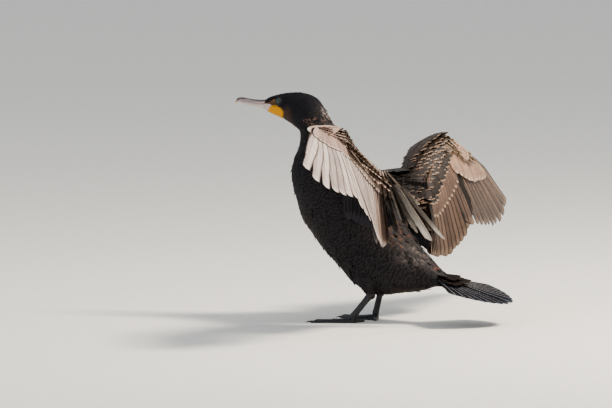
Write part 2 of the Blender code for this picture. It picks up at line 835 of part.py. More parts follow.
def make_foot(side):
    """Four toes joined by webs, with claws and the base of the tarsus."""
    top, ankle, joint = [point(place) for place in LEG_JOINTS[side]]
    floor = Vector((joint.x, joint.y, 0))
    pieces = []
    for turn, length in TOES:
        way = toe_way(side, turn)
        rings = []
        for share, wide, high, lift in TOE_SECTIONS:
            centre = floor + way * length * MM * share + Vector((0, 0, lift * MM))
            rings.append(toe_ring(centre, way, wide * MM, high * MM))
        pieces.append(new_object("toe", loft(rings)))
    for (turn_a, length_a), (turn_b, length_b) in zip(TOES, TOES[1:]):
        pieces.append(make_web(side, floor, turn_a, length_a * MM, turn_b, length_b * MM))
    tarsus = joint - ankle
    base = [
        round_ring(joint - tarsus.normalized() * (7 * MM - HALF_GAP), tarsus, 4.4 * MM, 6 * MM),
        round_ring(joint, tarsus, 5.0 * MM, 6.5 * MM),
        round_ring(joint + Vector((0, 0, -6 * MM)), tarsus + Vector((0, 0, -0.02)), 4.6 * MM, 5.5 * MM),
    ]
    foot = new_object(side + "_foot", loft(base))
    join(foot, pieces)
    keep_largest(foot)
    return foot


def make_web(side, floor, turn_a, length_a, turn_b, length_b):
    """Thin web between two toes with a hollow front edge."""
    way_a = toe_way(side, turn_a)
    way_b = toe_way(side, turn_b)
    rings = []
    for k in range(5):
        share = k / 4
        edge = 0.80 - 0.16 * math.sin(math.pi * share)
        start = floor + mix(way_a * length_a, way_b * length_b, share) * 0.05
        end = floor + mix(way_a * length_a, way_b * length_b, share) * edge
        rings.append([
            start + Vector((0, 0, 3.4 * MM)),
            end + Vector((0, 0, 2.4 * MM)),
            end + Vector((0, 0, 0.9 * MM)),
            start + Vector((0, 0, 0.9 * MM)),
        ])
    return new_object("web", loft(rings))


def finish_node(thing, finish, materials, root):
    """Give a node its material and hang it on the root."""
    thing.data.materials.clear()
    thing.data.materials.append(materials[finish])
    thing.parent = root
    thing.data.shade_smooth()
    thing.data.set_sharp_from_angle(angle=math.radians(40))


def centre_on_floor(root, nodes):
    """Put the root where the middle of the bird's box comes to the origin."""
    low = Vector((math.inf,) * 3)
    high = Vector((-math.inf,) * 3)
    for thing in nodes:
        for vert in thing.data.vertices:
            for axis in range(3):
                low[axis] = min(low[axis], vert.co[axis])
                high[axis] = max(high[axis], vert.co[axis])
    root.location = Vector((-(low.x + high.x) / 2, -(low.y + high.y) / 2, -low.z))


def main():
    clear_scene()
    rng = random.Random(7)
    materials = {name: finish_material(name) for name in COLOURS}
    root = bpy.data.objects.new("cormorant_root", None)
    bpy.context.scene.collection.objects.link(root)
    head, throat, left_eye, right_eye = make_head()
    upper_bill, lower_bill = make_bill()
    neck = new_object("neck", loft(trunk_rings(NECK_STATIONS, 0, HALF_GAP, HALF_GAP)))
    torso = new_object("torso", loft(trunk_rings(TORSO_STATIONS, 0, HALF_GAP, HALF_GAP)))
    finishes = {
        "plumage": [head, neck, torso],
        "throat_skin": [throat],
        "eye": [left_eye, right_eye],
        "bill_horn": [upper_bill, lower_bill],
        "tail_plumage": [make_tail()],
        "wing_plumage": make_wing("left", rng) + make_wing("right", rng),
        "leg_skin": [
            make_leg("left"), make_leg("right"),
            make_foot("left"), make_foot("right"),
        ],
    }
    nodes = []
    for finish, things in finishes.items():
        for thing in things:
            finish_node(thing, finish, materials, root)
            nodes.append(thing)
    centre_on_floor(root, nodes)


main()
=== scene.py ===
"""Great cormorant at life size, drying its wings: skin, feathers, bill and feet.

Sizes repeat the solids' named values. They are in millimetres, in the bird's
own frame: it faces -X, its left side is -Y and it stands at Z = 0. A piece is
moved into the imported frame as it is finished.
"""

import logging
import math
from collections.abc import Callable
from dataclasses import dataclass, field, fields
from enum import Enum

import bmesh
import bpy
import numpy as np
from mathutils import Matrix, Vector
from mathutils.kdtree import KDTree
from numpy.random import Generator


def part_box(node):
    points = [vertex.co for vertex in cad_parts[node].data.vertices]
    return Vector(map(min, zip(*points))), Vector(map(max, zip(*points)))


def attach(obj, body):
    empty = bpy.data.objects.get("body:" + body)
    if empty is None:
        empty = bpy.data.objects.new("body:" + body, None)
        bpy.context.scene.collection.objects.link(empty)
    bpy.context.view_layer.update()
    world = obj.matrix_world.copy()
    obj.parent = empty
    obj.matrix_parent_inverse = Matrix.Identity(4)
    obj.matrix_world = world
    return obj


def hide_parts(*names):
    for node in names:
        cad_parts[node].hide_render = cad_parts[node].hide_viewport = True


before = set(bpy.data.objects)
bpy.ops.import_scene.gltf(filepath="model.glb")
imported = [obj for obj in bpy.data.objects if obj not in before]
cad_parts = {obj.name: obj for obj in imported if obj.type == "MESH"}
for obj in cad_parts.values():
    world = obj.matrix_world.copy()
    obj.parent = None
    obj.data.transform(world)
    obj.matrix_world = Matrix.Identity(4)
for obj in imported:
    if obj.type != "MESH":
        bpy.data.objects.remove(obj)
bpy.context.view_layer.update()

LOG = logging.getLogger("cormorant")
MM = 0.001
Places = np.ndarray
Pair = tuple[float, float]
Point = tuple[float, float, float]
Table = tuple[Pair, ...]
Socket = bpy.types.NodeSocket
Material = bpy.types.Material

# Stations of the trunk: back (x, z), front (x, z), width.
TRUNK_STATIONS = (
    ((-192, 385.5), (-193, 368.5), 15), ((-181, 391), (-182, 362), 24),
    ((-164, 396), (-164, 355), 31), ((-147, 399), (-153, 350), 35),
    ((-128, 400), (-144, 345), 38), ((-109, 397), (-138, 341), 41),
    ((-94, 389), (-132, 337), 44), ((-82, 375), (-127, 332), 47),
    ((-74, 361), (-125, 325), 50), ((-66, 349), (-125, 316), 55),
    ((-54, 337), (-127, 304), 66), ((-39, 322), (-133, 287), 90),
    ((-22, 304), (-138, 266), 112), ((-4, 284), (-137, 243), 128),
    ((14, 262), (-130, 215), 138), ((29, 238), (-119, 182), 143),
    ((44, 213), (-102, 156), 144), ((59, 189), (-79, 127), 140),
    ((76, 165), (-50, 96), 132), ((95, 141), (-18, 65), 120),
    ((117, 119), (22, 49), 100), ((134, 102), (67, 51), 74),
    ((147, 91), (101, 56), 52), ((160, 82), (126, 63), 34),
    ((172, 75), (150, 65), 22),
)
EYE_PLACE = (-163.0, 10.3, 384.7)
EYE_RADIUS = 5.2
MOUTH_LINE_Z = 377.5


class Side(Enum):
    """The bird's own sides, with the sign of Y there."""

    LEFT = -1
    RIGHT = 1

    @property
    def label(self) -> str:
        """Lower case name for pieces."""
        return self.name.lower()


class Outline(Enum):
    """Vane outlines: shares of the length, with the share of full width there."""

    FLIGHT = ((0, 0.10), (0.08, 0.35), (0.3, 0.9), (0.6, 0.96), (0.9, 0.93), (1, 0.9))
    FINGER = ((0, 0.08), (0.1, 0.4), (0.35, 0.95), (0.55, 0.94), (0.75, 0.76), (1, 0.68))
    TAIL = ((0, 0.10), (0.32, 0.42), (0.6, 0.72), (0.9, 0.98), (1, 0.95))
    COVERT = ((0, 0.25), (0.2, 0.65), (0.45, 0.95), (0.8, 1.0), (1, 0.95))


def packed_offset() -> Vector:
    """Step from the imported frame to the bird's own, in metres, found by an eye."""
    low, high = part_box("left_eye")
    own = Vector((EYE_PLACE[0], -EYE_PLACE[1], EYE_PLACE[2])) * MM
    return own - (low + high) / 2


OFFSET = packed_offset()
TO_FRAME = Matrix.Translation(-OFFSET) @ Matrix.Scale(MM, 4)


def linear(colour: str) -> tuple[float, float, float, float]:
    """Linear colour from an sRGB hex value.

    Args:
        colour: six hex digits after a hash sign.

    Returns:
        Red, green, blue and an alpha of 1.
    """
    made = []
    for start in (1, 3, 5):
        value = int(colour[start:start + 2], 16) / 255
        made.append(value / 12.92 if value <= 0.04045 else ((value + 0.055) / 1.055) ** 2.4)
    return (*made, 1.0)


def read(table: Table, places: float | Places) -> float | Places:
    """Values at places in a table of (place, value) pairs."""
    return np.interp(places, *zip(*table))


# Settings that many nodes share.
MULTIPLY_ADD = {"operation": "MULTIPLY_ADD"}
SMOOTH = {"interpolation_type": "SMOOTHSTEP"}
RGBA = {"data_type": "RGBA"}


class Surface:
    """A new material, while its nodes are being set."""

    def __init__(self, name: str) -> None:
        """Make the material, with its Principled shader.

        Args:
            name: the material's name.
        """
        self.material = bpy.data.materials.new(name)
        self.material.use_nodes = True
        self.tree = self.material.node_tree

    def add(self, kind: str, settings: dict | None = None, links: dict | None = None,
            output: int | str = 0) -> Socket:
        """Add one node.

        Args:
            kind: the node's type name, after ShaderNode.
            settings: values by property name, or by the name or index of an input.
            links: output sockets by the name or index of the input they go to.
            output: name or index of the socket to hand back.

        Returns:
            That output of the node.
        """
        node = self.tree.nodes.new("ShaderNode" + kind)
        for key, value in (settings or {}).items():
            if isinstance(key, str) and key in node.bl_rna.properties:
                setattr(node, key, value)
            else:
                node.inputs[key].default_value = value
        for key, socket in (links or {}).items():
            self.tree.links.new(socket, node.inputs[key])
        return node.outputs[output]

    def finish(self, links: dict[str, Socket], values: dict[str, float]) -> Material:
        """Set the Principled shader's own sockets.

        Args:
            links: output sockets by the name of the shader's input.
            values: numbers that are the same all over, by the name of the input.

        Returns:
            The material.
        """
        shader = self.tree.nodes["Principled BSDF"]
        for name, socket in links.items():
            self.tree.links.new(socket, shader.inputs[name])
        for name, value in values.items():
            shader.inputs[name].default_value = value
        return self.material


# A patch's rim is made uneven by a noise whose mean is 0.5. It counts half, so
# the middle of the rim lies a quarter further out than the radii say.
RIM_NOISE = 0.5
RIM_MIDDLE = 1.25
SPECK_RANGE = (0.45, 0.7)


@dataclass(frozen=True)
class Zone:
    """A soft patch of another colour, an ellipsoid in the bird's own frame."""

    centre: Point
    radii: Point
    colour: str
    strength: float = 1.0
    soft: float = 0.4
    speckled: bool = False

    def paint(self, surface: Surface, colour: Socket, coords: Socket, noise: Socket,
              grain: Socket) -> Socket:
        """Mix the patch into a colour.

        Args:
            surface: the material.
            colour: colour under the patch.
            coords: Object coordinates.
            noise: noise value that makes the rim uneven.
            grain: value that picks the specks of a speckled patch.

        Returns:
            The mixed colour.
        """
        scale = [1 / (radius * MM) for radius in self.radii]
        centre = Vector(self.centre) * MM - OFFSET
        moved = surface.add("Mapping", {
            "Location": [-c * s for c, s in zip(centre, scale)], "Scale": scale,
        }, {"Vector": coords})
        far = surface.add("VectorMath", {"operation": "LENGTH"}, {0: moved}, "Value")
        uneven = surface.add("Math", MULTIPLY_ADD | {1: RIM_NOISE}, {0: noise, 2: far})
        share = surface.add("MapRange", SMOOTH | {
            "From Min": RIM_MIDDLE - self.soft,
            "From Max": RIM_MIDDLE + self.soft, "To Min": self.strength, "To Max": 0.0,
        }, {"Value": uneven})
        if self.speckled:
            low, high = SPECK_RANGE
            specks = surface.add("MapRange", {"From Min": low, "From Max": high}, {"Value": grain})
            share = surface.add("Math", {"operation": "MULTIPLY"}, {0: share, 1: specks})
        return surface.add("Mix", RGBA | {7: linear(self.colour)},
                           {0: share, 6: colour}, 2)


@dataclass(frozen=True)
class FeatherFinish:
    """Keratin vane, drawn from its own map: shaft, barbs, dark band and fringe.

    A tone from dark to light comes from the feather's own shade and from soft
    clouds. A rim runs round the sides and the tip, with a band inside it. An
    edge runs down both sides and a split tints the half on one side.
    """

    name: str
    dark: str
    light: str
    fringe: str
    shaft: str
    band: str = "#050506"
    fringe_from: float = 0.86
    fringe_strength: float = 0.5
    band_strength: float = 0.25
    shaft_width: float = 0.06
    edge: str = "#15110f"
    edge_strength: float = 0.0
    edge_from: float = 0.76
    side_share: float = 1.0
    split: str = "#15110f"
    split_strength: float = 0.0
    barbs: float = 30.0
    barb_depth: float = 0.12
    barb_shade: float = 0.22
    roughness: float = 0.5
    gloss: float = 0.08
    specular: float = 0.35
    zones: tuple[Zone, ...] = ()
    over: tuple[Zone, ...] = ()

    def build(self) -> Material:
        """Material of the finish."""
        surface = Surface(self.name)
        add = surface.add
        coords = add("TexCoord", output="Object")
        across = add("SeparateXYZ", links={0: add("UVMap", {"uv_map": "Vane"})})
        along = across.node.outputs[1]
        centred = add("Math", MULTIPLY_ADD | {1: 2.0, 2: -1.0}, {0: across})
        side = add("Math", {"operation": "ABSOLUTE"}, {0: centred})
        shade = add("Attribute", {"attribute_name": "shade"}, output="Fac")
        # Mottling over several feathers, 40 a metre or about 25 mm across.
        cloud = add("TexNoise", {"Scale": 40.0, "Detail": 2.0}, {"Vector": coords})
        mottle = add("Math", MULTIPLY_ADD | {1: 0.6, 2: -0.15}, {0: cloud})
        tone = add("Math", MULTIPLY_ADD | {1: 0.55, "use_clamp": True},
                   {0: shade, 2: mottle})
        colour = add("Mix", RGBA | {6: linear(self.dark), 7: linear(self.light)},
                     {0: tone}, 2)
        # Uneven rims and barbs, 90 a metre or about 11 mm across.
        noise = add("TexNoise", {"Scale": 90.0, "Detail": 3.0}, {"Vector": coords})
        for zone in self.zones:
            colour = zone.paint(surface, colour, coords, noise, shade)
        flank = add("Math", {"operation": "MULTIPLY", 1: self.side_share}, {0: side})
        rim = add("Math", {"operation": "MAXIMUM"}, {0: flank, 1: along})
        # Half, band, fringe and edge: where each starts and ends, as a share of the way out.
        for value, start, end, strength, tint in (
            (across, 0.44, 0.56, self.split_strength, self.split),
            (rim, self.fringe_from - 0.25, self.fringe_from - 0.02, self.band_strength, self.band),
            (rim, self.fringe_from, min(self.fringe_from + 0.12, 0.97), self.fringe_strength, self.fringe),
            (side, self.edge_from, self.edge_from + 0.2, self.edge_strength, self.edge),
        ):
            if not strength:
                continue
            share = add("MapRange", SMOOTH | {
                "From Min": start, "From Max": end,
                "To Min": 0.0, "To Max": strength,
            }, {"Value": value})
            colour = add("Mix", RGBA | {7: linear(tint)}, {0: share, 6: colour}, 2)
        for zone in self.over:
            colour = zone.paint(surface, colour, coords, noise, shade)
        # Barbs run slantwise to the tip. Real ones are 0.3 mm apart, drawn three to
        # ten times as coarse so that they show.
        count = add("Math", {"operation": "MULTIPLY", 1: self.barbs}, {0: along})
        slant = add("Math", MULTIPLY_ADD | {1: -4.0}, {0: side, 2: count})
        jitter = add("Math", MULTIPLY_ADD | {1: 3.0}, {0: noise, 2: slant})
        turned = add("Math", {"operation": "MULTIPLY", 1: 2 * math.pi}, {0: jitter})
        barb = add("Math", {"operation": "SINE"}, {0: turned})
        between = add("MapRange", {
            "From Min": -1.0, "From Max": 1.0, "To Min": 0.0, "To Max": self.barb_shade,
        }, {"Value": barb})
        rachis = add("MapRange", SMOOTH | {
            "From Min": self.shaft_width * 0.4,
            "From Max": self.shaft_width, "To Min": 1.0, "To Max": 0.0,
        }, {"Value": side})
        for share, tint in ((between, self.band), (rachis, self.shaft)):
            colour = add("Mix", RGBA | {7: linear(tint)}, {0: share, 6: colour}, 2)
        height = add("Math", MULTIPLY_ADD | {1: 2.0}, {0: rachis, 2: barb})
        bump = add("Bump", {"Strength": 0.5, "Distance": self.barb_depth * MM}, {"Height": height})
        return surface.finish({"Base Color": colour, "Normal": bump}, {
            "Roughness": self.roughness, "IOR": 1.54, "Specular IOR Level": self.specular,
            "Coat Weight": self.gloss, "Coat Roughness": 0.3,
        })


@dataclass(frozen=True)
class SkinFinish:
    """Skin, horn or scale: two tones, a cellular relief and soft patches."""

    name: str
    dark: str
    light: str
    cell: float = 3.0
    relief: float = 0.02
    roughness: float = 0.5
    gloss: float = 0.0
    stretch: Point = (1.0, 1.0, 1.0)
    zones: tuple[Zone, ...] = ()
    groove: float = 0.1
    groove_width: float = 0.22

    def build(self) -> Material:
        """Material of the finish."""
        surface = Surface(self.name)
        add = surface.add
        coords = add("TexCoord", output="Object")
        scaled = add("Mapping", {"Scale": self.stretch}, {"Vector": coords})
        # Cells of the real plates' or pores' size, and clouds two and a half times as large.
        noise = add("TexNoise", {"Scale": 0.4 / (self.cell * MM), "Detail": 4.0}, {"Vector": scaled})
        cells = add("TexVoronoi", {"feature": "DISTANCE_TO_EDGE", "Scale": 1 / (self.cell * MM)},
                    {"Vector": scaled})
        raised = add("MapRange", SMOOTH | {
            "From Min": 0.0, "From Max": self.groove_width,
            "To Min": 0.0, "To Max": 1.0,
        }, {"Value": cells})
        tone = add("MapRange", {"From Min": 0.3, "From Max": 0.7}, {"Value": noise})
        colour = add("Mix", RGBA | {6: linear(self.dark), 7: linear(self.light)},
                     {0: tone}, 2)
        for zone in self.zones:
            colour = zone.paint(surface, colour, coords, noise, noise)
        between = add("MapRange", {
            "From Min": 0.0, "From Max": 1.0, "To Min": self.groove, "To Max": 0.0,
        }, {"Value": raised})
        colour = add("Mix", RGBA | {7: linear(self.dark)}, {0: between, 6: colour}, 2)
        height = add("Math", MULTIPLY_ADD | {1: 0.5}, {0: noise, 2: raised})
        bump = add("Bump", {"Strength": 0.7, "Distance": self.relief * MM}, {"Height": height})
        return surface.finish({"Base Color": colour, "Normal": bump}, {
            "Roughness": self.roughness, "IOR": 1.5, "Coat Weight": self.gloss, "Coat Roughness": 0.2,
        })


@dataclass(frozen=True)
class EyeFinish:
    """Wet eye: a round pupil, a green iris with rays and a dark rim.

    The stops are shares of the reach, which is the largest distance from the
    middle, in millimetres, that still has a colour of its own.
    """

    name: str
    side: Side
    pupil: str = "#050505"
    inner: str = "#134247"
    outer: str = "#08222a"
    rim: str = "#060808"
    reach: float = 5.0

    def build(self) -> Material:
        """Material of the finish."""
        surface = Surface(self.name)
        add = surface.add
        per_mm = 1 / MM
        centre = Vector((EYE_PLACE[0], self.side.value * EYE_PLACE[1], EYE_PLACE[2])) * MM - OFFSET
        flat = add("Mapping", {
            "Location": (-centre.x * per_mm, 0, -centre.z * per_mm), "Scale": (per_mm, 0, per_mm),
        }, {"Vector": add("TexCoord", output="Object")})
        radius = add("VectorMath", {"operation": "LENGTH"}, {0: flat}, "Value")
        # Rays of the iris, about 0.6 mm apart.
        rays = add("TexNoise", {"Scale": 1.6, "Detail": 4.0}, {"Vector": flat})
        uneven = add("Math", MULTIPLY_ADD | {1: 0.35}, {0: rays, 2: radius})
        share = add("MapRange", {"From Min": 0.0, "From Max": self.reach}, {"Value": uneven})
        ramp = add("ValToRGB", links={0: share})
        stops = ((0.0, self.pupil), (0.40, self.pupil), (0.44, self.outer), (0.58, self.inner),
                 (0.80, self.outer), (0.90, self.rim))
        points = ramp.node.color_ramp.elements
        while len(points) < len(stops):
            points.new(0.5)
        for point, (place, colour) in zip(points, stops):
            point.position = place
            point.color = linear(colour)
        return surface.finish({"Base Color": ramp}, {
            "Roughness": 0.25, "IOR": 1.38, "Coat Weight": 1.0, "Coat Roughness": 0.02,
        })


def lofted(rings: list[Places]) -> bmesh.types.BMesh:
    """Closed shape drawn out from a circle through rings of equal count.

    Args:
        rings: places of each ring, in millimetres.

    Returns:
        A new bmesh.
    """
    shape = bmesh.new()
    bmesh.ops.create_circle(shape, cap_ends=False, segments=len(rings[0]), radius=1)
    verts = list(shape.verts)
    edges = list(shape.edges)
    first = edges
    for vert, place in zip(verts, rings[0]):
        vert.co = place
    for ring in rings[1:]:
        made = bmesh.ops.extrude_edge_only(shape, edges=edges)["geom"]
        fresh = {item for item in made if isinstance(item, bmesh.types.BMVert)}
        verts = [
            next(edge.other_vert(vert) for edge in vert.link_edges if edge.other_vert(vert) in fresh)
            for vert in verts
        ]
        edges = [
            item for item in made
            if isinstance(item, bmesh.types.BMEdge) and set(item.verts) <= fresh
        ]
        for vert, place in zip(verts, ring):
            vert.co = place
    bmesh.ops.edgeloop_fill(shape, edges=first)
    bmesh.ops.edgeloop_fill(shape, edges=edges)
    return shape


def curve(values: Places, places: Places) -> Places:
    """Smooth curve through rows of values.

    Args:
        values: one row a station.
        places: where to read it, 0 at the first row.

    Returns:
        One row a place.
    """
    last = len(values) - 1
    places = np.clip(places, 0, last - 1e-6)
    k = places.astype(int)
    f = (places - k)[:, None]
    padded = np.vstack([values[:1], values, values[-1:]])
    a, b, c, d = padded[k], padded[k + 1], padded[k + 2], padded[k + 3]
    return 0.5 * (2 * b + (c - a) * f + (2 * a - 5 * b + 4 * c - d) * f ** 2
                  + (3 * b - a - 3 * c + d) * f ** 3)


def unit(rows: Places) -> Places:
    """Rows scaled to length 1."""
    return rows / np.maximum(np.linalg.norm(rows, axis=-1, keepdims=True), 1e-9)


def square_to(rough: Places, way: Places) -> Places:
    """Unit vectors nearest to rough ones at right angles to ways."""
    return unit(rough - way * np.sum(rough * way, axis=-1, keepdims=True))


def circle(count: int) -> Places:
    """Even turns round a full circle, in radians."""
    return 2 * np.pi * np.arange(count) / count


def unwrapped(s: Places, length: float, turn: Places, start: float = 0.01,
              span: float = 0.98) -> Places:
    """Places on the bake's map of a tube of some length, which fills the span there."""
    return np.stack([start + span * s / length, 0.01 + 0.98 * (turn / (2 * np.pi) % 1)], -1)


@dataclass(frozen=True)
class Web:
    """Faces of a tube of rings, closed at both ends."""

    loops: np.ndarray
    totals: np.ndarray
    count: int

    @classmethod
    def tube(cls, rings: int, around: int) -> "Web":
        """Faces for a number of rings with so many points around."""
        i = np.arange(rings - 1)[:, None]
        j = np.arange(around)[None, :]
        k = (j + 1) % around
        quads = np.stack([i * around + j, i * around + k, (i + 1) * around + k,
                          (i + 1) * around + j], -1).reshape(-1)
        ends = [np.arange(around)[::-1], (rings - 1) * around + np.arange(around)]
        totals = np.concatenate([np.full(len(quads) // 4, 4), [around, around]])
        return cls(np.concatenate([quads, *ends]), totals, rings * around)


class Pile:
    """Many like closed shapes gathered into one mesh."""

    def __init__(self) -> None:
        """Start empty."""
        self.points: list[Places] = []
        self.loops: list[np.ndarray] = []
        self.totals: list[np.ndarray] = []
        self.vane: list[np.ndarray] = []
        self.bake: list[np.ndarray] = []
        self.shade: list[np.ndarray] = []
        self.count = 0

    def add(self, points: Places, web: Web, vane: Places, bake: Places, shade: Places) -> None:
        """Add shapes of one build.

        Args:
            points: (shapes, points, 3), in millimetres.
            web: the faces of each.
            vane: (points, 2) places across and along the vane.
            bake: (shapes, points, 2) places on the bake's map.
            shade: a tone of 0 to 1 a shape.
        """
        shapes = len(points)
        starts = self.count + np.arange(shapes)[:, None] * web.count
        self.points.append(points.reshape(-1, 3))
        self.loops.append((web.loops[None, :] + starts).reshape(-1))
        self.totals.append(np.tile(web.totals, shapes))
        self.vane.append(np.tile(vane, (shapes, 1)))
        self.bake.append(bake.reshape(-1, 2))
        self.shade.append(np.repeat(shade, web.count))
        self.count += shapes * web.count

    def mesh(self, name: str) -> bpy.types.Mesh:
        """The gathered mesh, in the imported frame, with both maps and the tones."""
        points = np.concatenate(self.points) * MM - np.array(OFFSET)
        loops = np.concatenate(self.loops)
        totals = np.concatenate(self.totals)
        mesh = bpy.data.meshes.new(name)
        mesh.vertices.add(len(points))
        mesh.vertices.foreach_set("co", points.reshape(-1))
        mesh.loops.add(len(loops))
        mesh.loops.foreach_set("vertex_index", loops)
        mesh.polygons.add(len(totals))
        mesh.polygons.foreach_set("loop_start", np.cumsum(totals) - totals)
        mesh.update(calc_edges=True)
        for title, values in (("Vane", self.vane), ("OFBake", self.bake)):
            layer = mesh.uv_layers.new(name=title)
            layer.data.foreach_set("uv", np.concatenate(values)[loops].reshape(-1))
        shade = mesh.attributes.new("shade", "FLOAT", "POINT")
        shade.data.foreach_set("value", np.concatenate(self.shade))
        mesh.validate()
        return mesh


def framed(name: str, shape: bmesh.types.BMesh) -> bpy.types.Mesh:
    """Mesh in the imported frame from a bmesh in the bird's own, which is freed."""
    bmesh.ops.recalc_face_normals(shape, faces=shape.faces)
    bmesh.ops.transform(shape, matrix=TO_FRAME, verts=shape.verts)
    mesh = bpy.data.meshes.new(name)
    shape.to_mesh(mesh)
    shape.free()
    return mesh


def publish(name: str, shape: Pile | bmesh.types.BMesh, finish: Material,
            nodes: tuple[str, ...] = (), sharp: float = 60.0) -> None:
    """Link a finished shape as a piece of the bird.

    Args:
        name: the piece's name.
        shape: pile or bmesh, in the bird's own frame.
        finish: its material.
        nodes: CAD nodes that it stands for.
        sharp: edges over this many degrees stay sharp.
    """
    mesh = shape.mesh(name) if isinstance(shape, Pile) else framed(name, shape)
    mesh.materials.append(finish)
    mesh.shade_smooth()
    mesh.set_sharp_from_angle(angle=math.radians(sharp))
    made = bpy.data.objects.new(name, mesh)
    bpy.context.scene.collection.objects.link(made)
    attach(made, "root")
    if nodes:
        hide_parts(*nodes)
    LOG.info("%s: %d faces", name, len(mesh.polygons))


@dataclass(frozen=True)
class Blade:
    """Shape of a small feather: a cupped blade with a raised shaft.

    Stations pair a share of the length with one of the width. Corners pair a place
    across, in half widths, with a height in ridges. Ridge and cup are shares of the
    width, the root's sink one of the length and the tip's bend one of its lift. The
    swing spreads the directions, in radians. The patch is on the bake's map.
    """

    stations: Table = ((0.0, 0.35), (0.3, 0.9), (0.6, 1.0), (0.85, 0.88), (1.0, 0.42))
    corners: Table = ((-1.0, 0.0), (0.0, 1.0), (1.0, 0.0), (0.0, -0.4))
    ridge: float = 0.035
    cup: float = 0.16
    sink: float = 0.021
    bend: float = 0.25
    swing: float = 0.09
    patch: float = 0.003


SIZE_RANGE = (0.85, 1.15)


@dataclass
class Plumes:
    """Small feathers: where each roots, how it lies and how large it is."""

    roots: Places
    normals: Places
    ways: Places
    lengths: Places
    widths: Places
    lifts: Places
    shades: Places
    patches: Places

    def part(self, keep: np.ndarray) -> "Plumes":
        """Those of the feathers that a mask keeps."""
        return Plumes(*(getattr(self, item.name)[keep] for item in fields(self)))

    def fill(self, pile: Pile, rng: Generator, blade: Blade = Blade()) -> None:
        """Add them to a pile.

        Args:
            pile: pile that gets them.
            rng: seeded random draws.
            blade: shape of each.
        """
        shares, wide = np.array(blade.stations).T
        corners = np.array(blade.corners)
        swing = rng.normal(0, blade.swing, len(self.roots))[:, None]
        ways = unit(self.ways + np.cross(self.normals, self.ways) * swing)
        sides = np.cross(ways, self.normals)
        length, width, lift = [
            values[:, None, None, None] for values in (self.lengths, self.widths, self.lifts)
        ]
        t = shares[None, :, None, None]
        across, up = corners[None, None, :, :1], corners[None, None, :, 1:]
        half = width * wide[None, :, None, None] / 2
        rise = lift * (t - blade.bend * t ** 3) - blade.sink * length * (1 - t)
        height = rise + up * width * blade.ridge - blade.cup * half * across ** 2
        points = (
            self.roots[:, None, None, :] + ways[:, None, None, :] * length * t
            + sides[:, None, None, :] * across * half + self.normals[:, None, None, :] * height
        )
        vane = np.array([(0.5 + 0.5 * c, share) for share in shares for c, _ in corners])
        local = np.array([(0.5 * c * w, share - 0.5) for share, w in blade.stations for c, _ in corners])
        pile.add(points.reshape(len(self.roots), -1, 3), Web.tube(len(shares), len(corners)), vane,
                 self.patches[:, None, :] + local[None] * blade.patch, self.shades)


@dataclass(frozen=True)
class Lay:
    """Where one large feather roots, how it lies and how large it is.

    The outs are the outward direction of its row at the root and at the tip. The
    hand, 1 or -1, makes the upper side face up. The turn about the shaft, in
    degrees, lays it over its neighbour. The sag is the drop a millimetre of length
    squared, and the rise is the height of the tip's line over the root's.
    """

    root: Places
    way: Places
    outs: tuple[Places, Places]
    hand: int
    length: float
    width: float
    turn: float
    sag: float = 0.00012
    rise: float = 0.0


